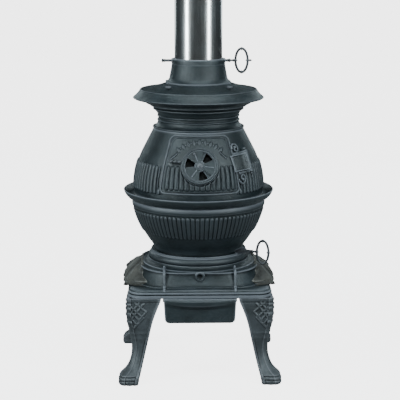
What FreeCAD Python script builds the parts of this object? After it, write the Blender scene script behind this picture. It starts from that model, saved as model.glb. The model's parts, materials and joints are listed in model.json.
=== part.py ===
import FreeCAD, Part
import math
import os
import Sketcher
from FreeCAD import Vector, Placement, Rotation

# A potbelly wood stove: square base on cabriole legs, round fire pot and dome, flared top plate,
# flue collar with a damper, and a length of flue pipe. Millimetres, +Z up, front faces -Y,
# origin on the flue axis at floor level.

doc = FreeCAD.newDocument("PotbellyStove")
sheet = doc.addObject("Spreadsheet::Sheet", "Dims")

SIZES = {
    # flue
    "pipe_radius": 62.5, "pipe_wall": 1.5, "pipe_foot": 790, "pipe_top": 1050, "slip": 0.3,
    "socket_bore": 63, "socket_depth": 50, "socket_swell": 4,
    # collar
    "throat_radius": 58, "collar_foot_radius": 86, "collar_foot_edge": 3, "collar_sweep": 20,
    "collar_waist_radius": 76.5, "collar_waist_level": 777, "collar_radius": 68.2,
    "collar_band_level": 813, "collar_top": 828, "seat_level": 764,
    # top plate
    "plate_ring_radius": 154, "plate_ring_level": 746, "plate_rim_radius": 172.9,
    "plate_rim_level": 726, "plate_lip": 3.5, "plate_wall": 8.5, "neck_top": 708,
    "cornice_radius": 127, "plate_inner_radius": 108, "plate_foot_edge": 4, "plate_under_radius": 150,
    "plate_under_level": 727,
    # neck ring
    "neck_inner": 98, "neck_radius": 106.3, "neck_low_level": 666, "neck_high_level": 677,
    "cornice_edge": 4, "neck_low_sweep": 21, "neck_high_sweep": 40, "bead_radius": 118.4,
    "bead_height": 4, "dome_top": 646,
    # dome and door
    "dome_shoulder_radius": 148.3, "dome_shoulder_level": 588, "dome_sweep": 219,
    "dome_radius": 171.5, "dome_waist_level": 490, "dome_foot": 472, "dome_wall": 7,
    "door_gap": 0.3, "door_thick": 7.2, "door_foot": 500,
    "door_head": 634, "door_foot_half": 95.5, "door_head_half": 72, "door_side_sweep": 490,
    "door_head_round": 20, "door_foot_round": 9, "opening_inset": 10,
    # belly rim, seal, fire pot
    "rim_radius": 199.3, "rim_level": 482.5, "rim_lip": 3, "rim_seat": 470, "rim_inner": 160,
    "rim_gutter_radius": 180, "rim_under_sweep": 36, "rim_gutter_sweep": 30,
    "seal_inner": 165, "seal_outer": 171, "seal_height": 2,
    "pot_top": 456, "pot_radius": 175.2, "pot_band": 10, "pot_sweep": 233, "pot_low_radius": 142,
    "pot_low_level": 362, "pot_throat_radius": 126.8, "pot_throat_level": 340,
    "pot_throat_sweep": 55, "pot_foot_radius": 118.6, "pot_foot_level": 322, "pot_wall": 9,
    "foot_flange_radius": 127, "foot_flange_inner": 104, "foot_flange_height": 6,
    # base
    "base_top": 314, "bead_ring_radius": 131, "bead_ring_sweep": 9, "bead_ring_height": 17,
    "cove_radius": 134, "cove_foot": 3.5,
    "shoulder_level": 286, "flange_top": 248, "flange_foot": 226, "flange_half": 187,
    "flange_round": 40, "shoulder_low_half": 165, "shoulder_low_round": 85,
    "shoulder_high_half": 152, "shoulder_high_round": 105, "base_wall": 7, "base_bore": 98,
    "grate_seat_radius": 106, "grate_seat_level": 304, "boss_level": 276.5, "boss_radius": 11.4,
    "boss_hole": 7, "boss_front": 161, "boss_back": 140,
    # legs
    "leg_outer": 191, "leg_inner": 100, "leg_knee_level": 168, "leg_ankle": 177,
    "leg_ankle_level": 88, "leg_toe": 212, "leg_toe_level": 18, "leg_instep": 196,
    "leg_instep_level": 34, "leg_heel": 159, "leg_heel_level": 14, "leg_shin": 143,
    "leg_shin_level": 71, "leg_calf": 126, "leg_calf_level": 146, "leg_knee_sweep": 315,
    "leg_instep_sweep": 175, "leg_inner_sweep": 136, "leg_hollow": 168, "leg_hollow_inner": 80,
    "leg_hollow_foot": 110, "leg_hollow_top": 216,
    # side leaves
    "leaf_length": 248, "leaf_drip": 196.5, "leaf_drip_level": 238.2, "leaf_drip_round": 92,
    "leaf_tip": 192, "leaf_tip_level": 251, "leaf_tip_round": 96, "leaf_crest": 155,
    "leaf_crest_level": 287.4, "leaf_crest_round": 107,
    # ash pan and rails
    "pan_half": 84, "pan_back": 150, "pan_front": 183, "pan_foot": 162, "pan_top": 219.5,
    "pan_wall": 2, "pan_round": 12, "pan_edge": 8, "pan_face_thick": 4, "pan_face_half": 94,
    "pan_face_foot_half": 91, "pan_face_top": 224.7, "pan_face_foot": 160, "lip_sweep": 396,
    "lip_depth": 9, "lip_foot": 204, "lip_top": 221, "lip_half": 84,
    "rail_back": 176, "rail_outer": 96, "rail_inner": 86, "rail_tab": 80, "rail_sheet": 3,
    "rail_foot": 214.5, "rail_ledge": 2.7,
    # grate
    "grate_radius": 100, "grate_level": 314.3, "grate_thick": 8, "grate_field": 84,
    "grate_slot": 9, "grate_pitch": 19, "hub_radius": 14, "spigot_radius": 6, "running_gap": 0.08,
    "grate_ring_inner": 91, "grate_ring_outer": 105.5, "spider_width": 12, "spider_thick": 7,
    "lever_azimuth": 70, "lever_half_travel": 17, "lever_reach": 147, "lever_root_half": 8,
    "lever_tip_half": 4, "lever_height": 7, "notch_head": 327,
    # ring handles and damper
    "ring_half_width": 16, "ring_half_height": 31, "ring_end_round": 11, "ring_side_sweep": 53.5,
    "joint_across": 0.88235294, "joint_up": 0.47058824,
    "wire_radius": 2.5, "ring_boss": 3.9, "stem_boss": 4.6, "stem_boss_place": 4, "damper_level": 822,
    "spindle_radius": 3.5, "damper_radius": 60.2, "damper_thick": 3, "sleeve_radius": 6.5,
    "sleeve_length": 100, "damper_left_end": 88, "damper_right_end": 76, "ball_radius": 5.2,
    "knob_stand": 4.2, "knob_neck_radius": 4.7, "knob_neck": 1.2,
    "damper_ring_centre": 113.4, "shaker_ring_centre": 180, "finial_radius": 4,
    # vent, latch and hinge
    "vent_level": 565, "boss_disc_radius": 48, "boss_disc_face": 8.5, "bezel_height": 5,
    "bezel_inner": 42, "spinner_radius": 41.5, "spinner_thick": 3, "vent_inner": 14,
    "vent_outer": 37.5, "vent_angle": 54, "screw_radius": 3, "screw_head_radius": 7,
    "latch_azimuth": -22, "latch_level": 573, "latch_half": 16, "latch_round": 5.5,
    "latch_bead": 3, "latch_bead_lift": 4.5, "latch_bead_outer": 6.4, "latch_bead_inner": 3.2,
    "tongue_length": 26, "hinge_azimuth": 48.5, "hinge_level": 569, "hinge_radius": 157.6,
    "hinge_lean": 22.1, "hinge_stand": 10, "pin_radius": 3, "knuckle_radius": 6.5,
    "strap_half": 22.5, "lug_thick": 6, "strap_depth": 24, "strap_screw_depth": 22, "strap_screw_rise": 13.5,
    "strap_screw_hole": 29, "pin_cap": 4.2, "lug_step": 4, "lug_rise_depth": 26, "lug_drop_depth": 32,
    "vent_door_spin": 128, "vent_spin": 143, "vent_knob_angle": 115, "vent_knob_reach": 34,
    "vent_screw_bite": 4, "vent_knob_lift": 4.2, "vent_post_radius": 1.5,
    "boss_disc_back": 25, "vent_back": 20, "latch_lift": 14, "tongue_depth": 11,
    "tongue_thick": 4, "baffle_depth": 15, "baffle_half_width": 47.5, "baffle_half_height": 38,
    "baffle_screw_across": 43, "baffle_bite": 27, "baffle_spacer_end": 7.6, "strap_reach": 50,
    "strap_wing": 37, "strap_screw_across": 45, "lug_reach": 36, "lug_near": 14, "lug_rise": 28,
    "lug_drop": 34,
    # bolts
    "bolt_tip_depth": 11, "bolt_grip": 16.5, "screw_grip": 12, "leaf_grip": 7,
    "bolt_radius": 4, "bolt_hole": 4.3, "bolt_head": 7.5, "bolt_head_height": 6,
    "leg_bolt_place": 160, "plate_bolt_place": 79.2, "leaf_bolt_along": 60, "leaf_bolt_across": 178,
    "rail_screw_across": 86, "rail_screw_along": 170, "small_screw": 2.5, "small_hole": 2.7,
    "small_head": 4.5, "small_head_height": 2, "spacer_radius": 4.25,
}

for row, (word, value) in enumerate(SIZES.items(), start=1):
    sheet.set("A%d" % row, word)
    sheet.set("B%d" % row, str(value))
    sheet.setAlias("B%d" % row, word)
doc.recompute()

parts = []


def size(text):
    """Number of millimetres meant by sums such as 'pipe_radius - pipe_wall' or '0.5*door_gap'."""
    total = 0.0
    sign = 1
    for word in str(text).split():
        if word in ("+", "-"):
            sign = 1 if word == "+" else -1
            continue
        value = 1.0
        for factor in word.split("*"):
            value *= SIZES[factor] if factor in SIZES else float(factor)
        total += sign * value
    return total


def bind(text):
    """The same sum written for the document, with each word taken from the sheet."""
    words = []
    for word in str(text).split():
        words.append("*".join("Dims." + f if f in SIZES else f for f in word.split("*")))
    return " ".join(words)


def keep(thing, node):
    """Name a finished sub-part; its label is its file name."""
    thing.Label = node
    parts.append(thing)
    return thing


def at(x, y, z, turn=None):
    return Placement(Vector(x, y, z), turn or Rotation())


def primitive(kind, sizes, place):
    solid = doc.addObject("Part::" + kind, kind)
    for name, text in sizes.items():
        solid.setExpression(name, bind(text))
    solid.Placement = place
    return solid


def cylinder(radius, height, place, angle=None):
    sizes = {"Radius": radius, "Height": height}
    if angle:
        sizes["Angle"] = angle
    return primitive("Cylinder", sizes, place)


def box(length, width, height, place):
    return primitive("Box", {"Length": length, "Width": width, "Height": height}, place)


def ball(radius, place):
    return primitive("Sphere", {"Radius": radius}, place)


def fuse(things):
    joined = doc.addObject("Part::MultiFuse", "Fuse")
    joined.Shapes = things
    return joined


def cut(base, tools):
    result = doc.addObject("Part::Cut", "Cut")
    result.Base = base
    result.Tool = tools[0] if len(tools) == 1 else fuse(tools)
    return result


def common(things):
    result = doc.addObject("Part::MultiCommon", "Common")
    result.Shapes = things
    return result


def group(things):
    together = doc.addObject("Part::Compound", "Group")
    together.Links = things
    return together


def copy_of(thing, place):
    again = doc.addObject("Part::Compound", "Copy")
    again.Links = [thing]
    again.Placement = place
    return again


def new_body(name):
    return doc.addObject("PartDesign::Body", name)


def plane_of(body, role):
    return next(o for o in body.Origin.OriginFeatures if o.Role == role)


def sketch_on(body, role, lift=None):
    sketch = body.newObject("Sketcher::SketchObject", "Sketch")
    sketch.AttachmentSupport = (plane_of(body, role), [""])
    sketch.MapMode = "FlatFace"
    if lift is not None:
        sketch.setExpression("AttachmentOffset.Base.z", bind(lift))
    return sketch


def arc_middle(start, end, radius, bulge):
    """Middle of a short arc between two points; bulge is +1 to the left of the run, -1 to the right."""
    chord = end - start
    half = chord.Length / 2
    rise = radius - math.sqrt(max(radius * radius - half * half, 0.0))
    left = Vector(-chord.y, chord.x, 0).normalize()
    return (start + end) * 0.5 + left * (rise * bulge)


def outline(sketch, corners):
    """Closed outline. A corner is (x, y) or (x, y, radius, bulge), the arc running to the next corner."""
    points = [Vector(size(c[0]), size(c[1]), 0) for c in corners]
    ends = []
    for i, corner in enumerate(corners):
        start, end = points[i], points[(i + 1) % len(points)]
        if len(corner) == 2:
            edge = sketch.addGeometry(Part.LineSegment(start, end), False)
            ends.append((edge, 1, 2))
            continue
        middle = arc_middle(start, end, size(corner[2]), corner[3])
        if corner[3] < 0:
            edge = sketch.addGeometry(Part.Arc(start, middle, end), False)
            ends.append((edge, 1, 2))
        else:
            edge = sketch.addGeometry(Part.Arc(end, middle, start), False)
            ends.append((edge, 2, 1))
        here = sketch.addConstraint(Sketcher.Constraint("Radius", edge, size(corner[2])))
        sketch.setExpression("Constraints[%d]" % here, bind(corner[2]))
    for i, corner in enumerate(corners):
        edge, first, last = ends[i]
        after, after_first, after_last = ends[(i + 1) % len(ends)]
        sketch.addConstraint(Sketcher.Constraint("Coincident", edge, last, after, after_first))
        for kind, text, value in (("DistanceX", corner[0], points[i].x),
                                  ("DistanceY", corner[1], points[i].y)):
            here = sketch.addConstraint(Sketcher.Constraint(kind, -1, 1, edge, first, value))
            sketch.setExpression("Constraints[%d]" % here, bind(text))
    return sketch


def ring(name, corners, angle=None, azimuth=0):
    """Solid of revolution about the flue axis; a part turn is centred on its azimuth from the front."""
    body = new_body(name)
    sketch = outline(sketch_on(body, "XZ_Plane"), corners)
    turn = body.newObject("PartDesign::Revolution", "Revolution")
    turn.Profile = sketch
    turn.ReferenceAxis = (sketch, ["V_Axis"])
    if angle:
        turn.Midplane = True
        turn.setExpression("Angle", bind(angle))
        body.Placement = at(0, 0, 0, Rotation(Vector(0, 0, 1), azimuth - 90))
    return body


def slab(name, role, lift, corners, length, both=False):
    """Padded outline; lift is how far the sketch stands off its plane, along the plane's normal."""
    body = new_body(name)
    sketch = outline(sketch_on(body, role, lift), corners)
    pad = body.newObject("PartDesign::Pad", "Pad")
    pad.Profile = sketch
    pad.Midplane = both
    pad.setExpression("Length", bind(length))
    return body


def square_corners(half, rounding):
    """A square with round corners, centred on the axis, run anticlockwise."""
    h, r = half, rounding
    near = "%s + %s" % (h, signed(-1, r))
    corners = []
    for sx, sy in ((1, 1), (-1, 1), (-1, -1), (1, -1)):
        full_x, full_y = signed(sx, h), signed(sy, h)
        near_x, near_y = signed(sx, near), signed(sy, near)
        first = (full_x, near_y) if sx == sy else (near_x, full_y)
        second = (near_x, full_y) if sx == sy else (full_x, near_y)
        corners.append(first + (r, -1))
        corners.append(second)
    return corners


def signed(sign, text):
    """The sum turned negative where the sign is -1."""
    if sign > 0:
        return text
    words = []
    flip = {"+": "-", "-": "+"}
    for word in text.split():
        words.append(flip.get(word, word))
    return "-1*" + " ".join(words)


def loft(name, low, high):
    """Loft between two rounded squares, each (half, rounding, level)."""
    body = new_body(name)
    sketches = []
    for half, rounding, level in (low, high):
        sketches.append(outline(sketch_on(body, "XY_Plane", level), square_corners(half, rounding)))
    shape = body.newObject("PartDesign::AdditiveLoft", "Loft")
    shape.Profile = sketches[0]
    shape.Sections = [sketches[1]]
    shape.Ruled = True
    return body


def dome_curve(offset, down=True):
    """Corners of the dome's outer curve moved out by a radial offset, from its head to its waist."""
    top = ("bead_radius + %s" % offset, "dome_top")
    shoulder = ("dome_shoulder_radius + %s" % offset, "dome_shoulder_level")
    waist = ("dome_radius + %s" % offset, "dome_waist_level")
    if down:
        return [top, shoulder + ("dome_sweep", 1), waist]
    return [waist + ("dome_sweep", -1), shoulder, top]


def dome_envelope(offset):
    """Everything inside the dome's outer curve moved out by the offset."""
    core = "0.5*neck_inner"
    corners = dome_curve(offset) + [("dome_radius + %s" % offset, "dome_foot"),
                                    (core, "dome_foot"), (core, "dome_top")]
    return ring("Envelope", corners)


def door_outline(inset):
    """Front view of the door, run anticlockwise: leaning, slightly bowed sides and round corners."""
    half_foot = "door_foot_half - " + inset
    half_head = "door_head_half - " + inset
    foot = "door_foot + " + inset
    head = "door_head - " + inset
    r, q = "door_head_round", "door_foot_round"
    return [
        (half_foot + " - " + q, foot, q, -1),
        (half_foot, foot + " + " + q, "door_side_sweep", -1),
        (half_head, head + " - " + r, r, -1),
        (half_head + " - " + r, head),
        (signed(-1, half_head + " - " + r), head, r, -1),
        (signed(-1, half_head), head + " - " + r, "door_side_sweep", -1),
        (signed(-1, half_foot), foot + " + " + q, q, -1),
        (signed(-1, half_foot + " - " + q), foot),
    ]


def dome_frame(azimuth, level, radius, lean):
    """Frame on the dome: X points out of it, Z up along it, Y sideways away from the front."""
    turn = Rotation(Vector(0, 0, 1), azimuth - 90).multiply(Rotation(Vector(0, 1, 0), -lean))
    a = math.radians(azimuth)
    return at(radius * math.sin(a), -radius * math.cos(a), level, turn)


def dome_at(level):
    """Radius of the dome's curve and its lean, in degrees, at a level on its round part."""
    rise = (level - SIZES["dome_waist_level"]) / SIZES["dome_sweep"]
    radius = SIZES["dome_radius"] - SIZES["dome_sweep"] * (1 - math.sqrt(1 - rise * rise))
    return radius, math.degrees(math.asin(rise))


def bolt(radius, length, head_radius, head_height, place, sides=6):
    """Bolt along +Z from its tip at the place, with a hexagon or round head beyond the shank."""
    shank = cylinder(radius, length, at(0, 0, 0))
    if sides == 6:
        head = doc.addObject("Part::Prism", "Prism")
        head.Polygon = 6
        head.setExpression("Circumradius", bind(head_radius))
        head.setExpression("Height", bind(head_height))
    else:
        head = cylinder(head_radius, head_height, at(0, 0, 0))
    head.setExpression("Placement.Base.z", bind(length))
    both = fuse([shank, head])
    both.Placement = place
    return both


def across(place, out, side=0, up=0, spin=0):
    """Placement for a round thing whose axis points out of a dome frame."""
    facing = Rotation(Vector(0, 1, 0), 90).multiply(Rotation(Vector(0, 0, 1), spin))
    return place.multiply(at(out, side, up, facing))


def within(place, x, y, z):
    """A point given in a frame, as a placement that keeps the frame's turn."""
    return place.multiply(at(x, y, z))


def flue_section():
    """Pipe with its top end swelled into a socket that takes the next length."""
    body = ring("Pipe", [
        ("pipe_radius - pipe_wall", "pipe_foot"),
        ("pipe_radius", "pipe_foot"),
        ("pipe_radius", "pipe_top - socket_depth - socket_swell"),
        ("socket_bore + pipe_wall", "pipe_top - socket_depth"),
        ("socket_bore + pipe_wall", "pipe_top"),
        ("socket_bore", "pipe_top"),
        ("socket_bore", "pipe_top - socket_depth"),
        ("pipe_radius - pipe_wall", "pipe_top - socket_depth - socket_swell"),
    ])
    keep(cut(body, [spindle_hole()]), "flue_pipe")


def spindle_hole():
    """Cross bore for the damper's spindle, right through collar and pipe."""
    turn = Rotation(Vector(0, 1, 0), 90)
    return cylinder("spindle_radius + running_gap", "2*collar_foot_radius",
                    at(-size("collar_foot_radius"), 0, size("damper_level"), turn))


def collar():
    body = ring("Collar", [
        ("throat_radius", "seat_level"),
        ("collar_foot_radius", "seat_level"),
        ("collar_foot_radius", "seat_level + collar_foot_edge", "collar_sweep", 1),
        ("collar_waist_radius", "collar_waist_level"),
        ("collar_radius", "collar_band_level"),
        ("collar_radius", "collar_top"),
        ("pipe_radius + slip", "collar_top"),
        ("pipe_radius + slip", "pipe_foot"),
        ("throat_radius", "pipe_foot"),
    ])
    keep(cut(body, [spindle_hole()]), "flue_collar")


def four_places(x, y):
    return [(x, y), (-x, y), (-x, -y), (x, -y)]


def top_plate():
    body = ring("Plate", [
        ("throat_radius", "seat_level"),
        ("collar_foot_radius", "seat_level"),
        ("plate_ring_radius", "plate_ring_level"),
        ("plate_rim_radius", "plate_rim_level"),
        ("plate_rim_radius - 2", "plate_rim_level - plate_lip"),
        ("cornice_radius", "neck_top"),
        ("plate_inner_radius", "neck_top"),
        ("plate_inner_radius", "neck_top + plate_foot_edge"),
        ("plate_under_radius", "plate_under_level"),
        ("plate_ring_radius", "plate_ring_level - plate_wall"),
        ("collar_foot_radius", "seat_level - plate_wall"),
        ("throat_radius", "seat_level - plate_wall"),
    ])
    place = size("plate_bolt_place")
    seat = size("seat_level") - size("bolt_head")
    tools = []
    for x, y in four_places(place, place):
        tools.append(cylinder("bolt_head + 1", "2*bolt_head", at(x, y, seat)))
        tools.append(cylinder("bolt_hole", "seat_level - neck_top", at(x, y, size("neck_top"))))
    keep(cut(body, tools), "top_plate")


def neck_ring():
    body = ring("Neck", [
        ("neck_inner", "dome_top"),
        ("bead_radius", "dome_top"),
        ("bead_radius", "dome_top + bead_height", "neck_low_sweep", 1),
        ("neck_radius", "neck_low_level"),
        ("neck_radius", "neck_high_level", "neck_high_sweep", 1),
        ("cornice_radius", "neck_top - cornice_edge"),
        ("cornice_radius", "neck_top"),
        ("neck_inner", "neck_top"),
    ])
    place = size("plate_bolt_place")
    depth = size("neck_top") - size("bolt_tip_depth")
    holes = [cylinder("bolt_hole", "bolt_tip_depth + 1", at(x, y, depth))
             for x, y in four_places(place, place)]
    keep(cut(body, holes), "neck_ring")


def plate_bolts():
    place = size("plate_bolt_place")
    tip = size("neck_top") - size("bolt_tip_depth") + size("slip")
    length = "seat_level - bolt_head - neck_top + bolt_tip_depth - slip"
    bolts = [bolt("bolt_radius", length, "bolt_head", "bolt_head_height", at(x, y, tip))
             for x, y in four_places(place, place)]
    keep(group(bolts), "top_plate_bolts")


def dome():
    inner = "-1*dome_wall"
    body = ring("Dome", dome_curve("0") + [
        ("dome_radius", "dome_foot"),
        ("dome_radius - dome_wall", "dome_foot"),
    ] + dome_curve(inner, down=False))
    opening = slab("DoorOpening", "XZ_Plane", "throat_radius", door_outline("opening_inset"),
                   "3*throat_radius")
    keep(cut(body, [opening]), "dome")


def dome_seal():
    keep(ring("Seal", [
        ("seal_inner", "rim_seat"),
        ("seal_outer", "rim_seat"),
        ("seal_outer", "rim_seat + seal_height"),
        ("seal_inner", "rim_seat + seal_height"),
    ]), "dome_seal")


def belly_rim():
    keep(ring("Rim", [
        ("rim_inner", "pot_top"),
        ("pot_radius", "pot_top", "rim_under_sweep", -1),
        ("rim_radius", "rim_level - rim_lip"),
        ("rim_radius", "rim_level"),
        ("rim_radius - rim_lip", "rim_level", "rim_gutter_sweep", 1),
        ("rim_gutter_radius", "rim_seat"),
        ("rim_inner", "rim_seat"),
    ]), "belly_rim")


def fire_pot():
    body = ring("Pot", [
        ("pot_radius", "pot_top"),
        ("pot_radius", "pot_top - pot_band", "pot_sweep", 1),
        ("pot_low_radius", "pot_low_level"),
        ("pot_throat_radius", "pot_throat_level", "pot_throat_sweep", -1),
        ("pot_foot_radius", "pot_foot_level"),
        ("pot_foot_radius", "base_top + foot_flange_height"),
        ("foot_flange_radius", "base_top + foot_flange_height"),
        ("foot_flange_radius", "base_top"),
        ("foot_flange_inner", "base_top"),
        ("foot_flange_inner", "base_top + foot_flange_height"),
        ("pot_foot_radius - pot_wall", "pot_foot_level", "pot_throat_sweep", 1),
        ("pot_throat_radius - pot_wall", "pot_throat_level"),
        ("pot_low_radius - pot_wall", "pot_low_level", "pot_sweep", -1),
        ("pot_radius - pot_wall", "pot_top - pot_band"),
        ("rim_inner", "pot_top"),
    ])
    notch = ring("LeverNotch", [
        ("grate_radius", "base_top - 1"),
        ("foot_flange_radius + 1", "base_top - 1"),
        ("foot_flange_radius + 1", "notch_head"),
        ("grate_radius", "notch_head"),
    ], angle="2*lever_half_travel", azimuth=size("lever_azimuth"))
    keep(cut(body, [notch]), "fire_pot")


def base():
    flange = slab("Flange", "XY_Plane", "flange_foot", square_corners("flange_half", "flange_round"),
                  "flange_top - flange_foot")
    shoulder = loft("Shoulder", ("shoulder_low_half", "shoulder_low_round", "flange_top"),
                    ("shoulder_high_half", "shoulder_high_round", "shoulder_level"))
    bead = ring("BaseBead", [
        ("base_bore", "shoulder_level - base_wall"),
        ("cove_radius", "shoulder_level - base_wall"),
        ("cove_radius", "shoulder_level + cove_foot"),
        ("bead_ring_radius", "base_top - bead_ring_height", "bead_ring_sweep", -1),
        ("bead_ring_radius", "base_top"),
        ("base_bore", "base_top"),
    ])
    forward = Rotation(Vector(1, 0, 0), 90)
    back = at(0, -size("boss_back"), size("boss_level"), forward)
    boss = cylinder("boss_radius", "boss_front - boss_back", back)
    cavity = loft("Cavity",
                  ("shoulder_low_half - base_wall", "shoulder_low_round - base_wall", "flange_foot"),
                  ("shoulder_high_half - base_wall", "shoulder_high_round - base_wall",
                   "shoulder_level - base_wall"))
    tools = [cylinder("base_bore", "base_top - flange_foot", at(0, 0, size("flange_foot"))),
             cylinder("grate_seat_radius", "base_top - grate_seat_level", at(0, 0, size("grate_seat_level"))),
             cylinder("boss_hole", "2*boss_back", at(0, 0, size("boss_level"), forward))]
    leg = size("leg_bolt_place")
    for x, y in four_places(leg, leg):
        tools.append(cylinder("bolt_hole", "bolt_grip", at(x, y, size("flange_foot"))))
    for x, y in four_places(size("rail_screw_across"), size("rail_screw_along")):
        tools.append(cylinder("small_hole", "screw_grip", at(x, y, size("flange_foot"))))
    for x, y in four_places(size("leaf_bolt_across"), size("leaf_bolt_along")):
        tools.append(cylinder("small_hole", "flange_top - flange_foot", at(x, y, size("flange_foot"))))
    hollow = cut(fuse([shoulder, bead, boss]), [cavity])
    keep(cut(fuse([cut(flange, [cavity]), hollow]), tools), "base_casting")


def leg_outline():
    return [
        ("leg_outer", "flange_foot"),
        ("leg_outer", "leg_knee_level", "leg_knee_sweep", -1),
        ("leg_ankle", "leg_ankle_level", "leg_instep_sweep", -1),
        ("leg_instep", "leg_instep_level"),
        ("leg_toe", "leg_toe_level"),
        ("leg_toe", "0"),
        ("leg_heel", "0"),
        ("leg_heel", "leg_heel_level"),
        ("leg_shin", "leg_shin_level"),
        ("leg_calf", "leg_calf_level", "leg_inner_sweep", -1),
        ("leg_inner", "flange_foot"),
    ]


def legs():
    """The leg's side view is the same from the front and from the side, so it is the meeting of two slabs."""
    front_view = slab("LegFront", "XZ_Plane", "0", leg_outline(), "2*leg_toe + 2*leg_heel", both=True)
    side_view = slab("LegSide", "XZ_Plane", "0", leg_outline(), "2*leg_toe + 2*leg_heel", both=True)
    side_view.Placement = at(0, 0, 0, Rotation(Vector(0, 0, 1), -90))
    room = "leg_hollow - leg_hollow_inner"
    hollow = box(room, room, "leg_hollow_top - leg_hollow_foot",
                 at(size("leg_hollow_inner"), -size("leg_hollow"), size("leg_hollow_foot")))
    place = size("leg_bolt_place")
    hole = cylinder("bolt_hole", "bolt_grip", at(place, -place, size("leg_hollow_top") - 1))
    leg = cut(common([front_view, side_view]), [hollow, hole])
    keep(leg, "leg_front_right")
    for turn, node in ((90, "leg_rear_right"), (180, "leg_rear_left"), (270, "leg_front_left")):
        keep(copy_of(leg, at(0, 0, 0, Rotation(Vector(0, 0, 1), turn))), node)


def under_bolts(node, places, radius, tip, length, head_radius, head_height):
    """Bolts driven upwards from below; each tip is at the same level."""
    flip = Rotation(Vector(1, 0, 0), 180)
    keep(group([bolt(radius, length, head_radius, head_height, at(x, y, size(tip), flip))
                for x, y in places]), node)


def base_bolts():
    leg = size("leg_bolt_place")
    under_bolts("leg_bolts", four_places(leg, leg), "bolt_radius", "flange_foot + bolt_grip - slip",
                "flange_foot + bolt_grip - slip - leg_hollow_top", "bolt_head", "bolt_head_height")
    rail = four_places(size("rail_screw_across"), size("rail_screw_along"))
    under_bolts("rail_screws", rail, "small_screw", "flange_foot + screw_grip - slip",
                "screw_grip - slip + rail_sheet", "small_head", "small_screw")
    leaf = four_places(size("leaf_bolt_across"), size("leaf_bolt_along"))
    under_bolts("leaf_bolts", leaf, "small_screw", "flange_top + leaf_grip - slip",
                "flange_top + leaf_grip - slip - flange_foot", "small_head", "small_screw")


def side_leaves():
    """Relief castings that wrap over the base's shoulders and droop past the flange's side edges."""
    tip = ("leaf_tip", "leaf_tip_round", "leaf_tip_level")
    skin = fuse([loft("LeafDrip", ("leaf_drip", "leaf_drip_round", "leaf_drip_level"), tip),
                 loft("LeafCrest", tip, ("leaf_crest", "leaf_crest_round", "leaf_crest_level"))])
    room = [
        loft("ShoulderRoom", ("shoulder_low_half + slip", "shoulder_low_round + slip", "flange_top"),
             ("shoulder_high_half + slip", "shoulder_high_round + slip", "shoulder_level")),
        slab("CrestRoom", "XY_Plane", "shoulder_level",
             square_corners("shoulder_high_half + slip", "shoulder_high_round + slip"), "leaf_grip"),
        slab("FlangeRoom", "XY_Plane", "flange_foot",
             square_corners("flange_half + slip", "flange_round + slip"), "flange_top - flange_foot + slip"),
    ]
    for side, node in ((1, "side_leaf_right"), (-1, "side_leaf_left")):
        start = 0 if side > 0 else -size("leaf_length")
        reach = box("leaf_length", "leaf_length", "shoulder_level",
                    at(start, -0.5 * size("leaf_length"), size("flange_foot")))
        out = side * size("leaf_bolt_across")
        holes = [cylinder("small_hole", "leaf_grip", at(out, y, size("flange_top")))
                 for y in (size("leaf_bolt_along"), -size("leaf_bolt_along"))]
        keep(cut(common([skin, reach]), room + holes), node)


def pan_rails():
    for side, node in ((1, "ash_pan_rail_right"), (-1, "ash_pan_rail_left")):
        def x(text):
            return signed(side, text)
        body = slab("Rail", "XZ_Plane", "0", [
            (x("rail_tab"), "flange_foot"),
            (x("rail_outer"), "flange_foot"),
            (x("rail_outer"), "rail_foot"),
            (x("rail_inner"), "rail_foot"),
            (x("rail_inner"), "rail_foot + rail_ledge"),
            (x("rail_outer - rail_sheet"), "rail_foot + rail_ledge"),
            (x("rail_outer - rail_sheet"), "flange_foot - rail_sheet"),
            (x("rail_tab"), "flange_foot - rail_sheet"),
        ], "2*rail_back", both=True)
        screws = [at(side * size("rail_screw_across"), y, size("rail_foot"))
                  for y in (size("rail_screw_along"), -size("rail_screw_along"))]
        keep(cut(body, [cylinder("small_hole", "flange_foot - rail_foot", p) for p in screws]), node)


def pan_section(inset):
    """Corners of the pan's round-bottomed section below its top edge, run anticlockwise."""
    half = "pan_half - " + inset
    foot = "pan_foot + " + inset
    r = "pan_round - " + inset
    low = "pan_foot + pan_round"
    near = "pan_half - pan_round"
    return [(signed(-1, half), low, r, -1), (signed(-1, near), foot), (near, foot, r, -1), (half, low)]


def ash_pan():
    edge = [("pan_half", "pan_top - pan_wall"), ("pan_half + pan_edge", "pan_top - pan_wall"),
            ("pan_half + pan_edge", "pan_top")]
    other_edge = [(signed(-1, px), pz) for px, pz in reversed(edge)]
    outer = slab("PanOuter", "XZ_Plane", "-1*pan_back", other_edge + pan_section("0") + edge,
                 "pan_front + pan_back")
    top = [("pan_half - pan_wall", "pan_top + 1"), (signed(-1, "pan_half - pan_wall"), "pan_top + 1")]
    inner = slab("PanInner", "XZ_Plane", "-1*pan_back + pan_wall", pan_section("pan_wall") + top,
                 "pan_front + pan_back - 2*pan_wall")
    keep(cut(outer, [inner]), "ash_pan")


def pan_front():
    r = "pan_round"
    foot = "pan_face_foot_half"
    low = "pan_face_foot + pan_round"
    face = slab("PanFace", "XZ_Plane", "pan_front", [
        (signed(-1, "pan_face_half"), "pan_face_top"),
        (signed(-1, foot), low, r, -1),
        (signed(-1, foot + " - " + r), "pan_face_foot"),
        (foot + " - " + r, "pan_face_foot", r, -1),
        (foot, low),
        ("pan_face_half", "pan_face_top"),
    ], "pan_face_thick")
    face_front = size("pan_front") + size("pan_face_thick")
    bow = cylinder("lip_sweep", "lip_top - lip_foot",
                   at(0, -face_front - size("lip_depth") + size("lip_sweep"), size("lip_foot")))
    front_room = box("2*lip_half", "2*lip_depth", "lip_top - lip_foot",
                     at(-size("lip_half"), -face_front - 2 * size("lip_depth"), size("lip_foot")))
    keep(fuse([face, common([bow, front_room])]), "ash_pan_front")


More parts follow.
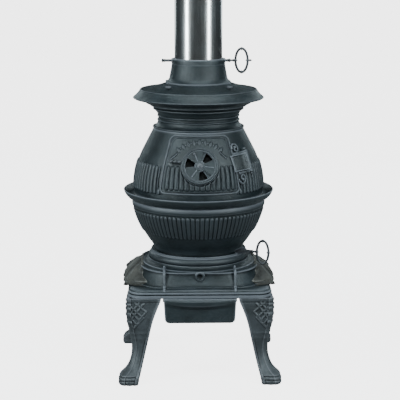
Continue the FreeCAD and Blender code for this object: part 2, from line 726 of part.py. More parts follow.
def grate_ring():
    rim = ring("GrateSeat", [
        ("grate_ring_inner", "grate_seat_level"),
        ("grate_ring_outer", "grate_seat_level"),
        ("grate_ring_outer", "base_top"),
        ("grate_ring_inner", "base_top"),
    ])
    level = size("grate_seat_level")
    reach = size("grate_ring_inner") + 1
    half = 0.5 * size("spider_width")
    bars = [box("2*grate_ring_inner + 2", "spider_width", "spider_thick", at(-reach, -half, level)),
            box("spider_width", "2*grate_ring_inner + 2", "spider_thick", at(-half, -reach, level))]
    hub = cylinder("hub_radius", "spider_thick", at(0, 0, level))
    bore = cylinder("spigot_radius + running_gap", "2*spider_thick", at(0, 0, level - 1))
    keep(cut(fuse([rim, hub] + bars), [bore]), "grate_ring")


def shaker():
    level = size("grate_level")
    plate = cylinder("grate_radius", "grate_thick", at(0, 0, level))
    field = cut(cylinder("grate_field", "2*grate_thick", at(0, 0, level - 1)),
                [cylinder("hub_radius", "2*grate_thick", at(0, 0, level - 1))])
    slots = [box("grate_slot", "2*grate_field", "2*grate_thick",
                 at(k * size("grate_pitch") - 0.5 * size("grate_slot"), -size("grate_field"), level - 1))
             for k in range(-4, 5)]
    spigot = cylinder("spigot_radius", "grate_level - grate_seat_level", at(0, 0, size("grate_seat_level")))
    keep(fuse([cut(plate, [common([fuse(slots), field])]), spigot]), "shaker_grate")
    turn = Rotation(Vector(0, 0, 1), size("lever_azimuth") - 90)
    lift = "grate_level + 0.5*grate_thick - 0.5*lever_height"
    bar = slab("Lever", "XY_Plane", lift, [
        ("grate_field", "-1*lever_root_half"),
        ("lever_reach", "-1*lever_tip_half"),
        ("lever_reach", "lever_tip_half"),
        ("grate_field", "lever_root_half"),
    ], "lever_height")
    bar.Placement = at(0, 0, 0, turn)
    lever = cut(bar, [cylinder("grate_radius", "2*grate_thick", at(0, 0, level - 1))])
    keep(lever, "shaker_lever")
    middle = at(0, 0, size("grate_level") + 0.5 * size("grate_thick"), turn)
    ring_handle("shaker_handle", middle, "lever_reach", "shaker_ring_centre", finial=False)


def oval_corners(grow):
    """Upright oval of four tangent arcs about its middle, its middle line moved out by a sum."""
    side, end = "ring_side_sweep" + grow, "ring_end_round" + grow
    wire = grow[3:]
    sign = grow[:3]
    jx = "ring_half_width - ring_side_sweep + joint_across*ring_side_sweep" + sign + "joint_across*" + wire
    jy = "joint_up*ring_side_sweep" + sign + "joint_up*" + wire
    return [(jx, signed(-1, jy), side, -1), (jx, jy, end, -1),
            (signed(-1, jx), jy, side, -1), (signed(-1, jx), signed(-1, jy), end, -1)]


def oval_hoop(middle):
    """Oval ring of square wire, standing in the XZ plane."""
    outer = slab("HoopOuter", "XZ_Plane", "0", oval_corners(" + wire_radius"), "2*wire_radius", both=True)
    inner = slab("HoopInner", "XZ_Plane", "0", oval_corners(" - wire_radius"), "4*wire_radius", both=True)
    hoop = cut(outer, [inner])
    hoop.Placement = at(middle, 0, 0)
    return hoop


def ring_handle(node, place, root, centre, finial=True):
    """Oval ring on a collared stem, standing in the XZ plane of its frame, with four round bosses on it."""
    half_width, half_height = size("ring_half_width"), size("ring_half_height")
    middle = size(centre)
    sideways = Rotation(Vector(0, 1, 0), 90)
    start = size(root)
    stem = cylinder("spindle_radius", centre + " - ring_half_width - " + root, at(start, 0, 0, sideways))
    bosses = [cylinder("stem_boss", "stem_boss", at(start + size("stem_boss_place"), 0, 0, sideways))]
    if finial:
        bosses.append(cylinder("wire_radius", "2*finial_radius", at(middle + half_width, 0, 0, sideways)))
        bosses.append(ball("finial_radius", at(middle + half_width + 2 * size("finial_radius"), 0, 0)))
    facing = Rotation(Vector(1, 0, 0), 90)
    for x, z in ((0, half_height), (0, -half_height), (half_width, 0), (-half_width, 0)):
        bosses.append(cylinder("ring_boss", "2*ring_boss", at(middle + x, size("ring_boss"), z, facing)))
    whole = fuse([oval_hoop(middle), stem] + bosses)
    whole.Placement = place
    keep(whole, node)


def damper():
    level = size("damper_level")
    sideways = Rotation(Vector(0, 1, 0), 90)
    disc = cylinder("damper_radius", "damper_thick",
                    at(0, 0.5 * size("damper_thick"), level, Rotation(Vector(1, 0, 0), 90)))
    sleeve = cylinder("sleeve_radius", "sleeve_length", at(-0.5 * size("sleeve_length"), 0, level, sideways))
    bore = cylinder("spindle_radius", "2*damper_radius + 2",
                    at(-size("damper_radius") - 1, 0, level, sideways))
    keep(cut(fuse([disc, sleeve]), [bore]), "damper_plate")
    left = size("damper_left_end")
    keep(cylinder("spindle_radius", "damper_left_end + damper_right_end", at(-left, 0, level, sideways)),
         "damper_spindle")
    knob = ball("ball_radius", at(-left - size("knob_stand"), 0, level))
    neck = cylinder("knob_neck_radius", "knob_neck", at(-left - 0.5 * size("knob_neck"), 0, level, sideways))
    rod = cylinder("spindle_radius", "2*ball_radius", at(-left, 0, level, sideways))
    keep(cut(fuse([knob, neck]), [rod]), "damper_knob")
    ring_handle("damper_handle", at(0, 0, level), "damper_right_end", "damper_ring_centre")


def vent_sectors(place, spin, low, length):
    """Three openings shaped as parts of a ring, about the vent's axis."""
    tools = []
    for k in range(3):
        start = spin + 120 * k - 0.5 * size("vent_angle")
        outer = cylinder("vent_outer", length, across(place, low, spin=start), "vent_angle")
        inner = cylinder("vent_inner", length, across(place, low))
        tools.append(cut(outer, [inner]))
    return tools


def door(vent, latch):
    """Curved panel with the vent's raised boss and bezel, bored for its screws and the latch spindle."""
    corners = dome_curve("door_gap + door_thick") + [
        ("dome_radius + door_gap + door_thick", "dome_foot"),
        ("dome_radius + door_gap", "dome_foot"),
    ] + dome_curve("door_gap", down=False)
    front = slab("DoorFront", "XZ_Plane", "throat_radius", door_outline("0"), "3*throat_radius")
    panel = common([ring("DoorShell", corners), front])
    back, face = size("boss_disc_back"), size("boss_disc_face")
    disc = cut(cylinder("boss_disc_radius", "boss_disc_face + boss_disc_back", across(vent, -back)),
               [dome_envelope("door_gap")])
    bezel = cut(cylinder("boss_disc_radius", "bezel_height", across(vent, face)),
                [cylinder("bezel_inner", "bezel_height", across(vent, face))])
    tools = vent_sectors(vent, size("vent_door_spin"), -size("vent_back"), "vent_back + boss_disc_face + 1")
    tools.append(cylinder("screw_radius + running_gap", "2*boss_disc_back", across(vent, -back)))
    tools.append(cylinder("spindle_radius + running_gap", "2*boss_disc_back", across(latch, -back)))
    for side in (size("baffle_screw_across"), -size("baffle_screw_across")):
        tools.append(cylinder("small_hole", "baffle_bite", across(vent, -back, side)))
    tools += [cylinder("small_hole", "2*door_thick", p) for p in strap_screw_places()]
    keep(cut(fuse([panel, disc, bezel]), tools), "door")


def strap_screw_places():
    """Tips of the strap's screws, beside the hinge and behind the door's skin."""
    frame = hinge_frame().multiply(at(size("hinge_stand"), 0, 0))
    return [across(frame, -size("strap_screw_depth"), -size("strap_screw_across"), up)
            for up in (size("strap_screw_rise"), -size("strap_screw_rise"))]


def vent(place):
    face = size("boss_disc_face")
    disc = cylinder("spinner_radius", "spinner_thick", across(place, face + size("slip")))
    tools = vent_sectors(place, size("vent_spin"), face, "2*spinner_thick")
    tools.append(cylinder("screw_radius + running_gap", "2*spinner_thick", across(place, face)))
    keep(cut(disc, tools), "vent_spinner")
    shank = cylinder("screw_radius", "vent_screw_bite + boss_disc_face + spinner_thick + 2*slip",
                     across(place, -size("vent_screw_bite")))
    head = cylinder("screw_head_radius", "spinner_thick",
                    across(place, face + size("spinner_thick") + 2 * size("slip")))
    keep(fuse([shank, head]), "vent_screw")
    angle = math.radians(size("vent_knob_angle"))
    reach = size("vent_knob_reach")
    side, up = reach * math.cos(angle), reach * math.sin(angle)
    outer = face + size("slip") + size("spinner_thick")
    post = cylinder("vent_post_radius", "vent_knob_lift", across(place, outer, side, up))
    knob = ball("screw_radius", within(place, outer + size("vent_knob_lift"), side, up))
    keep(fuse([post, knob]), "vent_knob")


def latch(place):
    top = size("latch_lift")
    keep(cylinder("spindle_radius", "latch_lift + tongue_depth - latch_round",
                  across(place, -size("tongue_depth"))), "latch_spindle")
    length = 2 * (size("latch_half") - size("latch_round"))
    grip = cylinder("latch_round", "2*latch_half - 2*latch_round",
                    place.multiply(at(top, 0.5 * length, 0, Rotation(Vector(1, 0, 0), 90))))
    ends = [ball("latch_round", within(place, top, sign * 0.5 * length, 0)) for sign in (1, -1)]
    beads = [ball("latch_bead", within(place, top + size("latch_bead_lift"), y, 0))
             for y in (-size("latch_bead_outer"), size("latch_bead_inner"))]
    keep(fuse([grip] + ends + beads), "latch_handle")
    tongue = box("tongue_thick", "2*latch_round", "tongue_length + latch_round",
                 place.multiply(at(-size("tongue_depth") - size("tongue_thick"), -size("latch_round"),
                                   -size("tongue_length"))))
    keep(tongue, "latch_tongue")


def baffle(place):
    half_wide, half_high = size("baffle_half_width"), size("baffle_half_height")
    depth = size("baffle_depth")
    plate = box("pan_wall", "2*baffle_half_width", "2*baffle_half_height",
                place.multiply(at(-depth - size("pan_wall"), -half_wide, -half_high)))
    offsets = (size("baffle_screw_across"), -size("baffle_screw_across"))
    holes = [cylinder("small_hole", "3*pan_wall", across(place, -depth - 2 * size("pan_wall"), y))
             for y in offsets]
    keep(cut(plate, holes), "door_baffle")
    screws = []
    for y in offsets:
        back = -depth - size("pan_wall")
        shank = cylinder("small_screw", "baffle_depth + pan_wall + baffle_bite - boss_disc_back - slip",
                         across(place, back, y))
        spacer = cylinder("spacer_radius", "baffle_depth - baffle_spacer_end", across(place, -depth, y))
        head = cylinder("spacer_radius", "small_screw", across(place, back - size("small_screw"), y))
        screws.append(fuse([shank, spacer, head]))
    keep(group(screws), "baffle_screws")


def hinge_frame():
    """Frame on the dome's surface beside the door; Z runs up along the hinge pin's line."""
    return dome_frame(size("hinge_azimuth"), size("hinge_level"), size("hinge_radius"), size("hinge_lean"))


def pin_bore(frame):
    foot = frame.multiply(at(0, 0, -2 * size("strap_half")))
    return cylinder("pin_radius + running_gap", "4*strap_half", foot)


def hinge_pin(frame):
    end = size("strap_half") + size("slip") + size("lug_thick") + size("pin_cap")
    pin = cylinder("pin_radius", "2*strap_half + 2*slip + 2*lug_thick + 2*pin_cap",
                   frame.multiply(at(0, 0, -end)))
    caps = [ball("pin_cap", within(frame, 0, 0, sign * end)) for sign in (1, -1)]
    keep(fuse([pin] + caps), "hinge_pin")


def hinge_strap(frame):
    """Knuckle on the pin with a leaf that lies over the door and a deeper block beside the dome."""
    half, depth = size("strap_half"), size("strap_depth")
    knuckle = cylinder("knuckle_radius", "2*strap_half", frame.multiply(at(0, 0, -half)))
    leaf = cut(box("strap_depth", "strap_reach", "2*strap_half",
                   frame.multiply(at(-depth, -size("strap_reach"), -half))),
               [dome_envelope("door_gap + door_thick")])
    block = cut(box("strap_depth", "strap_wing", "2*strap_half",
                    frame.multiply(at(-depth, -size("strap_wing"), -half))),
                [dome_envelope("3*door_gap")])
    tools = [pin_bore(frame)] + [cylinder("small_hole", "strap_screw_hole", p) for p in strap_screw_places()]
    keep(cut(fuse([knuckle, leaf, block]), tools), "hinge_strap")


def strap_screws():
    screws = []
    depth = size("strap_screw_depth")
    for place in strap_screw_places():
        shank = cylinder("small_screw", "strap_screw_depth", place)
        head = cylinder("small_head", "small_head_height", place.multiply(at(0, 0, depth)))
        screws.append(cut(fuse([shank, head]), [dome_envelope("door_gap + slip")]))
    keep(group(screws), "strap_screws")


def hinge_lug(frame, node, sign, foot, depth):
    """Eye on the pin with an arm back to the dome and a foot that runs along it."""
    half = size("strap_half") + size("slip")
    lug, reach = size("lug_thick"), size("lug_reach")
    low = half if sign > 0 else -half - lug
    eye = cylinder("knuckle_radius", "lug_thick", frame.multiply(at(0, 0, low)))
    arm = box(depth, "lug_reach", "lug_thick", frame.multiply(at(-size(depth), -reach, low)))
    foot_low = half + lug if sign > 0 else -half - lug - size(foot)
    scroll = box(depth + " - lug_step", "lug_reach - lug_near", foot,
                 frame.multiply(at(-size(depth), -reach, foot_low)))
    keep(cut(fuse([eye, arm, scroll]), [pin_bore(frame), dome_envelope("0")]), node)


def hinge():
    frame = hinge_frame().multiply(at(size("hinge_stand"), 0, 0))
    hinge_pin(frame)
    hinge_strap(frame)
    strap_screws()
    hinge_lug(frame, "hinge_lug_upper", 1, "lug_rise", "lug_rise_depth")
    hinge_lug(frame, "hinge_lug_lower", -1, "lug_drop", "lug_drop_depth")


def build():
    vent_radius, vent_lean = dome_at(size("vent_level"))
    vent_place = dome_frame(0, size("vent_level"), vent_radius, vent_lean)
    latch_radius, latch_lean = dome_at(size("latch_level"))
    latch_place = dome_frame(size("latch_azimuth"), size("latch_level"), latch_radius, latch_lean)
    legs()
    base()
    base_bolts()
    side_leaves()
    pan_rails()
    ash_pan()
    pan_front()
    grate_ring()
    shaker()
    fire_pot()
    belly_rim()
    dome_seal()
    dome()
    neck_ring()
    top_plate()
    plate_bolts()
    collar()
    flue_section()
    damper()
    door(vent_place, latch_place)
    vent(vent_place)
    latch(latch_place)
    baffle(vent_place)
    hinge()


def check():
    """Stop on anything that failed to build."""
    for thing in doc.Objects:
        for word in ("Invalid", "Error"):
            if word in thing.State:
                raise RuntimeError("%s (%s) is %s" % (thing.Name, thing.Label, word))
    for part in parts:
        if part.Shape.isNull() or not part.Shape.isValid() or not part.Shape.Solids:
            raise RuntimeError(part.Label + " has no valid solid")


def export():
    os.makedirs("parts", exist_ok=True)
    for part in parts:
        part.Shape.exportStep("parts/" + part.Label + ".step")
        print("%-20s %3d solids %10.0f mm3" % (part.Label, len(part.Shape.Solids), part.Shape.Volume))


build()
doc.recompute()
check()
export()
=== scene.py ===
import json
import math
import bpy
import bmesh
from mathutils import Matrix, Vector


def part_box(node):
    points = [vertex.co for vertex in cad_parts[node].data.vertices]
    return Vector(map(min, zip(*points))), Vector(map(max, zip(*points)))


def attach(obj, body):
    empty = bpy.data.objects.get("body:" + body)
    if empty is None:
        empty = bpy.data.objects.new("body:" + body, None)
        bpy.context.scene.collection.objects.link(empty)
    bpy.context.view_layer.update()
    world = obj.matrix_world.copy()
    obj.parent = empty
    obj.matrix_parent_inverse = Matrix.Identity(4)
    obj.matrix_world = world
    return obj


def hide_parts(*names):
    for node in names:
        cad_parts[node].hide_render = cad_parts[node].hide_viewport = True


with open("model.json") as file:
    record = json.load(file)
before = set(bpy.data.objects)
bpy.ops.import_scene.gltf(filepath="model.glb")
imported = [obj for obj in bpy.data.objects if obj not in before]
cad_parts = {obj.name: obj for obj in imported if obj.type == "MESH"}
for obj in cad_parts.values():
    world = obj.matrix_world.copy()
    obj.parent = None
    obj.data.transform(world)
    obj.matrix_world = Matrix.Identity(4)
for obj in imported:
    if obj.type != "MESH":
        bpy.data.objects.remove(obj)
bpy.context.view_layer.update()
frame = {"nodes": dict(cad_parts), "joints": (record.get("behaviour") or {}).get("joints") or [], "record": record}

# Lengths below are millimetres in the stove's own frame; meshObject turns them into metres.
scene = bpy.context.scene
mm = 0.001
joints = {joint["name"]: joint for joint in frame["joints"]}
stage = {"white": 4.0, "fill": 0.06, "fillColour": (0.70, 0.90, 1.0), "lampColour": (0.80, 0.95, 1.0)}

blackIron = {"dark": (0.0015, 0.0042, 0.0052), "light": (0.008, 0.014, 0.017), "wornEdgeHighlight": (0.12, 0.125, 0.14),
             "rough": (0.38, 0.54), "grain": 0.75, "grainScale": 430, "specular": 0.55}
greyIron = {"dark": (0.010, 0.012, 0.013), "light": (0.046, 0.050, 0.055), "wornEdgeHighlight": (0.12, 0.12, 0.13),
            "rough": (0.40, 0.56), "grain": 0.75, "grainScale": 430, "specular": 0.55}
leafIron = {"dark": (0.014, 0.013, 0.011), "light": (0.062, 0.057, 0.048), "wornEdgeHighlight": (0.15, 0.14, 0.125),
            "rough": (0.48, 0.66), "grain": 0.40, "grainScale": 560, "specular": 0.40}
rodBlack = {"dark": (0.006, 0.008, 0.009), "light": (0.016, 0.018, 0.020), "wornEdgeHighlight": (0.05, 0.05, 0.055),
            "rough": (0.32, 0.48), "grain": 0.12, "grainScale": 900, "specular": 0.5}
darkSteel = {"dark": (0.012, 0.014, 0.016), "light": (0.030, 0.034, 0.038), "wornEdgeHighlight": (0.10, 0.10, 0.11),
             "rough": (0.34, 0.50), "grain": 0.10, "grainScale": 1100, "specular": 0.5}
sootIron = {"dark": (0.006, 0.006, 0.006), "light": (0.020, 0.019, 0.018), "wornEdgeHighlight": (0.05, 0.048, 0.045),
            "rough": (0.70, 0.90), "grain": 0.45, "grainScale": 420, "specular": 0.25}


def newMaterial(name):
    material = bpy.data.materials.new(name)
    material.use_nodes = True
    nodes = material.node_tree.nodes
    return material, nodes, material.node_tree.links, nodes["Principled BSDF"]


def noiseNode(nodes, links, vector, scale, detail, roughness=0.55):
    noise = nodes.new("ShaderNodeTexNoise")
    noise.inputs["Scale"].default_value = scale
    noise.inputs["Detail"].default_value = detail
    noise.inputs["Roughness"].default_value = roughness
    links.new(vector, noise.inputs["Vector"])
    return noise.outputs["Fac"]


def rampNode(nodes, links, factor, stops):
    ramp = nodes.new("ShaderNodeValToRGB")
    elements = ramp.color_ramp.elements
    while len(elements) < len(stops):
        elements.new(0.5)
    for element, (place, colour) in zip(elements, stops):
        element.position = place
        element.color = (*colour, 1.0)
    links.new(factor, ramp.inputs["Fac"])
    return ramp.outputs["Color"]


# cast iron surface: random mottle and grain, edges lightened as wear and painted highlight, hollows darkened as
# painted shade
ironWearAndPaintedLight = {"mottle": 17, "patch": 48, "edgeFrom": 0.508, "edgeTo": 0.57, "edgeMost": 0.95,
            "hollowFrom": 0.44, "hollowTo": 0.497, "hollowShade": 0.12, "coarse": 0.6, "depth": 0.0012}
pipeSteel = {"warm": (0.50, 0.45, 0.42), "cool": (0.66, 0.65, 0.66), "tintScale": 9, "rough": (0.16, 0.28),
             "stretch": (900, 900, 9), "streak": 0.08, "depth": 0.0004}
ropeFibre = {"dark": (0.20, 0.18, 0.15), "light": (0.46, 0.43, 0.38), "braid": 260, "twist": 3, "relief": 0.6,
             "depth": 0.001}
floorPaper = {"dark": 0.24, "light": 0.26, "cloud": 3}


def grey(value):
    return value, value, value


def multiplied(nodes, links, value, factor):
    product = nodes.new("ShaderNodeMath")
    product.operation = "MULTIPLY"
    product.inputs[1].default_value = factor
    links.new(value, product.inputs[0])
    return product.outputs[0]


def addBump(nodes, links, shader, height, strength, depth):
    bump = nodes.new("ShaderNodeBump")
    bump.inputs["Strength"].default_value = strength
    bump.inputs["Distance"].default_value = depth
    links.new(height, bump.inputs["Height"])
    links.new(bump.outputs["Normal"], shader.inputs["Normal"])


def castIron(name, finish):
    # sand-cast metal: mottled colour, edges lightened as rubbed wear and as a painted highlight, hollows darkened
    # as painted shade, fine grain with a few larger pits
    material, nodes, links, shader = newMaterial(name)
    place = nodes.new("ShaderNodeTexCoord").outputs["Object"]
    mottle = noiseNode(nodes, links, place, ironWearAndPaintedLight["mottle"], 6)
    colour = rampNode(nodes, links, mottle, [(0.32, finish["dark"]), (0.70, finish["light"])])
    edge = nodes.new("ShaderNodeNewGeometry").outputs["Pointiness"]
    # edges lightened: partly rubbed wear, partly a painted highlight on the rims
    rubbedEdgeHighlight = nodes.new("ShaderNodeMapRange")
    rubbedEdgeHighlight.inputs["From Min"].default_value = ironWearAndPaintedLight["edgeFrom"]
    rubbedEdgeHighlight.inputs["From Max"].default_value = ironWearAndPaintedLight["edgeTo"]
    rubbedEdgeHighlight.inputs["To Max"].default_value = ironWearAndPaintedLight["edgeMost"]
    links.new(edge, rubbedEdgeHighlight.inputs["Value"])
    wornEdgeHighlight = nodes.new("ShaderNodeMix")
    wornEdgeHighlight.data_type = "RGBA"
    links.new(rubbedEdgeHighlight.outputs["Result"], wornEdgeHighlight.inputs["Factor"])
    links.new(colour, wornEdgeHighlight.inputs["A"])
    wornEdgeHighlight.inputs["B"].default_value = (*finish["wornEdgeHighlight"], 1.0)
    # painted shade: the hollows are darkened and lose their shine, standing in for shadow in the crevices
    hollow = rampNode(nodes, links, edge, [(ironWearAndPaintedLight["hollowFrom"], grey(ironWearAndPaintedLight["hollowShade"])),
                                           (ironWearAndPaintedLight["hollowTo"], grey(1))])
    paintedHollowShade = nodes.new("ShaderNodeMix")
    paintedHollowShade.data_type = "RGBA"
    paintedHollowShade.blend_type = "MULTIPLY"
    paintedHollowShade.inputs["Factor"].default_value = 1.0
    links.new(wornEdgeHighlight.outputs["Result"], paintedHollowShade.inputs["A"])
    links.new(hollow, paintedHollowShade.inputs["B"])
    links.new(paintedHollowShade.outputs["Result"], shader.inputs["Base Color"])
    shine = multiplied(nodes, links, hollow, finish["specular"])
    links.new(shine, shader.inputs["Specular IOR Level"])
    patch = noiseNode(nodes, links, place, ironWearAndPaintedLight["patch"], 4)
    low, high = finish["rough"]
    rough = rampNode(nodes, links, patch, [(0.3, grey(low)), (0.7, grey(high))])
    links.new(rough, shader.inputs["Roughness"])
    grain = noiseNode(nodes, links, place, finish["grainScale"], 5, 0.62)
    coarse = noiseNode(nodes, links, place, finish["grainScale"] / 5, 3)
    both = nodes.new("ShaderNodeMath")
    both.operation = "MULTIPLY_ADD"
    both.inputs[1].default_value = ironWearAndPaintedLight["coarse"]
    links.new(coarse, both.inputs[0])
    links.new(grain, both.inputs[2])
    addBump(nodes, links, shader, both.outputs[0], finish["grain"], ironWearAndPaintedLight["depth"])
    return material


def brushedPipe(name):
    # stainless sheet drawn lengthwise: long fine streaks, a slight heat tint in broad bands
    material, nodes, links, shader = newMaterial(name)
    place = nodes.new("ShaderNodeTexCoord").outputs["Object"]
    stretch = nodes.new("ShaderNodeMapping")
    stretch.inputs["Scale"].default_value = pipeSteel["stretch"]
    links.new(place, stretch.inputs["Vector"])
    streak = noiseNode(nodes, links, stretch.outputs["Vector"], 1, 3)
    tint = noiseNode(nodes, links, place, pipeSteel["tintScale"], 3)
    colour = rampNode(nodes, links, tint, [(0.3, pipeSteel["warm"]), (0.7, pipeSteel["cool"])])
    links.new(colour, shader.inputs["Base Color"])
    low, high = pipeSteel["rough"]
    rough = rampNode(nodes, links, streak, [(0.25, grey(low)), (0.75, grey(high))])
    links.new(rough, shader.inputs["Roughness"])
    addBump(nodes, links, shader, streak, pipeSteel["streak"], pipeSteel["depth"])
    shader.inputs["Metallic"].default_value = 1.0
    return material


def sealRope(name):
    # braided glass rope, pale and slightly singed
    material, nodes, links, shader = newMaterial(name)
    place = nodes.new("ShaderNodeTexCoord").outputs["Object"]
    braid = nodes.new("ShaderNodeTexWave")
    braid.inputs["Scale"].default_value = ropeFibre["braid"]
    braid.inputs["Distortion"].default_value = ropeFibre["twist"]
    links.new(place, braid.inputs["Vector"])
    strand = braid.outputs["Fac"]
    colour = rampNode(nodes, links, strand, [(0.2, ropeFibre["dark"]), (0.8, ropeFibre["light"])])
    links.new(colour, shader.inputs["Base Color"])
    addBump(nodes, links, shader, strand, ropeFibre["relief"], ropeFibre["depth"])
    shader.inputs["Roughness"].default_value = 0.95
    return material


def plainFloor(name):
    # pale paper: bright to look at, while only a little of it is thrown up under the stove
    material, nodes, links, shader = newMaterial(name)
    place = nodes.new("ShaderNodeTexCoord").outputs["Object"]
    cloud = noiseNode(nodes, links, place, floorPaper["cloud"], 2)
    dark, light = grey(floorPaper["dark"]), grey(floorPaper["light"])
    colour = rampNode(nodes, links, cloud, [(0.3, dark), (0.7, light)])
    links.new(colour, shader.inputs["Base Color"])
    shader.inputs["Roughness"].default_value = 0.9
    shader.inputs["Specular IOR Level"].default_value = 0.0
    shader.inputs["Emission Color"].default_value = (1, 1, 1, 1)
    path = nodes.new("ShaderNodeLightPath")
    glow = multiplied(nodes, links, path.outputs["Is Camera Ray"], stage["white"])
    links.new(glow, shader.inputs["Emission Strength"])
    return material


finishes = {
    "black_iron": castIron("blackIron", blackIron),
    "grey_iron": castIron("greyIron", greyIron),
    "leaf_iron": castIron("leafIron", leafIron),
    "dark_steel": castIron("darkSteel", darkSteel),
    "handle_steel": castIron("rodBlack", rodBlack),
    "soot_iron": castIron("sootIron", sootIron),
    "stainless": brushedPipe("brushedPipe"),
    "seal_rope": sealRope("sealRope"),
}


def newShape():
    return [], []


def sheet(shape, rows, closeAcross=False, closeAlong=False):
    # quads between neighbouring rows of points
    verts, faces = shape
    first = len(verts)
    across = len(rows[0])
    for row in rows:
        verts.extend(row)
    for j in range(len(rows) if closeAlong else len(rows) - 1):
        for i in range(across if closeAcross else across - 1):
            a, b = j * across, ((j + 1) % len(rows)) * across
            k = (i + 1) % across
            faces.append((first + a + i, first + a + k, first + b + k, first + b + i))


def around(azimuth, radius, level):
    # azimuth in degrees from the front towards the right
    a = math.radians(azimuth)
    return Vector((radius * math.sin(a), -radius * math.cos(a), level))


def lathe(shape, profile, steps=192, place=None, closed=True):
    rows = []
    for radius, level in profile:
        row = [around(360 * i / steps, radius, level) for i in range(steps)]
        rows.append([place @ p for p in row] if place else row)
    sheet(shape, rows, closeAcross=True, closeAlong=closed)


def arcRun(start, end, radius, side, steps=10):
    # points of a short arc, its start left in and its end left out; side +1 bulges left of the run
    chord = Vector(end) - Vector(start)
    half = chord.length / 2
    left = Vector((-chord.y, chord.x)).normalized()
    drop = math.sqrt(max(radius * radius - half * half, 0))
    centre = (Vector(start) + Vector(end)) / 2 - left * drop * side
    a = math.atan2(start[1] - centre.y, start[0] - centre.x)
    b = math.atan2(end[1] - centre.y, end[0] - centre.x)
    turn = (b - a + math.pi) % (2 * math.pi) - math.pi
    angles = [a + turn * i / steps for i in range(steps)]
    return [(centre.x + radius * math.cos(t), centre.y + radius * math.sin(t)) for t in angles]


def rounded(corners, radius=1.2, steps=3):
    # closed profile with its sharp corners eased
    result = []
    count = len(corners)
    for i, here in enumerate(corners):
        p, q, r = Vector(corners[i - 1]), Vector(here), Vector(corners[(i + 1) % count])
        back, on = (p - q), (r - q)
        if back.length < 0.01 or on.length < 0.01 or back.angle(on) > math.radians(155):
            result.append(tuple(q))
            continue
        ease = min(radius, back.length * 0.45, on.length * 0.45)
        a, b = q + back.normalized() * ease, q + on.normalized() * ease
        for k in range(steps + 1):
            t = k / steps
            result.append(tuple(a * (1 - t) ** 2 + q * 2 * t * (1 - t) + b * t * t))
    return result


def tube(shape, points, radius, sides=12, closed=False):
    # round wire along a run of points; radius is a number or a list, one for each point
    rows = []
    count = len(points)
    normal = None
    for i, point in enumerate(points):
        before = points[i - 1] if (i or closed) else point
        after = points[(i + 1) % count] if (i < count - 1 or closed) else point
        along = (after - before).normalized()
        if normal is None:
            normal = along.orthogonal().normalized()
        normal = (normal - along * normal.dot(along)).normalized()
        other = along.cross(normal)
        r = radius[i] if isinstance(radius, list) else radius
        rows.append([point + (normal * math.cos(t) + other * math.sin(t)) * r
                     for t in (2 * math.pi * k / sides for k in range(sides))])
    if not closed:
        rows = [[points[0]] * sides] + rows + [[points[-1]] * sides]
    sheet(shape, rows, closeAcross=True, closeAlong=closed)


def bead(shape, centre, radius, steps=16, squash=(1, 1, 1), turn=None):
    rows = []
    for j in range(steps // 2 + 1):
        tilt = math.pi * j / (steps // 2)
        row = []
        for i in range(steps):
            t = 2 * math.pi * i / steps
            p = Vector((math.sin(tilt) * math.cos(t) * squash[0], math.sin(tilt) * math.sin(t) * squash[1],
                        math.cos(tilt) * squash[2])) * radius
            row.append(centre + (turn @ p if turn else p))
        rows.append(row)
    sheet(shape, rows, closeAcross=True)


def shell(shape, columns, rows, outer, inner, keep, closed=False, snap=None):
    # plate of two skins with a wall along every free edge, so it stays solid round any opening
    verts, faces = shape
    first = len(verts)
    span = columns if closed else columns + 1
    cells = [(c, r) for r in range(rows) for c in range(columns) if keep(c, r)]
    used = {}

    def vertex(c, r, skin):
        key = (c % span, r, skin)
        if key not in used:
            used[key] = first + len(used)
            verts.append((outer if skin == 0 else inner)(c % span, r))
        return used[key]

    edges = {}
    for c, r in cells:
        loop = [(c, r), (c + 1, r), (c + 1, r + 1), (c, r + 1)]
        faces.append(tuple(vertex(*p, 0) for p in loop))
        faces.append(tuple(vertex(*p, 1) for p in reversed(loop)))
        for i in range(4):
            a, b = loop[i], loop[(i + 1) % 4]
            a, b = (a[0] % span, a[1]), (b[0] % span, b[1])
            if (b, a) in edges:
                del edges[(b, a)]
            else:
                edges[(a, b)] = True
    for a, b in edges:
        faces.append((vertex(*a, 1), vertex(*b, 1), vertex(*b, 0), vertex(*a, 0)))
    if snap:
        for c, r in {p for edge in edges for p in edge}:
            if 0 < r < rows:
                snap(verts, used[(c, r, 0)], used[(c, r, 1)])


def polarPlate(shape, radii, steps, keep, low, high, place):
    # flat round plate made of ring cells about its own axis
    def point(level):
        return lambda c, r: place @ Vector((radii[r] * math.cos(2 * math.pi * c / steps),
                                            radii[r] * math.sin(2 * math.pi * c / steps), level))
    shell(shape, steps, len(radii) - 1, point(high), point(low), keep, closed=True)


def meshObject(name, shape, finish, body, replaced=(), bevel=None, sharp=38):
    verts, faces = shape
    mesh = bpy.data.meshes.new(name)
    mesh.from_pydata([tuple(Vector(v) * mm) for v in verts], [], faces)
    work = bmesh.new()
    work.from_mesh(mesh)
    bmesh.ops.remove_doubles(work, verts=work.verts, dist=1e-6)
    bmesh.ops.dissolve_degenerate(work, edges=work.edges, dist=1e-7)
    bmesh.ops.recalc_face_normals(work, faces=work.faces)
    work.to_mesh(mesh)
    work.free()
    piece = bpy.data.objects.new(name, mesh)
    scene.collection.objects.link(piece)
    if bevel:
        edge = piece.modifiers.new("edge", "BEVEL")
        edge.width = bevel * mm
        edge.segments = 2
        edge.limit_method = "ANGLE"
        edge.angle_limit = math.radians(40)
        solid = bpy.data.meshes.new_from_object(piece.evaluated_get(bpy.context.evaluated_depsgraph_get()))
        piece.modifiers.clear()
        piece.data = solid
    piece.data.shade_smooth()
    piece.data.set_sharp_from_angle(angle=math.radians(sharp))
    piece.data.materials.clear()
    piece.data.materials.append(finishes[finish])
    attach(piece, body)
    if replaced:
        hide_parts(*replaced)
    return piece


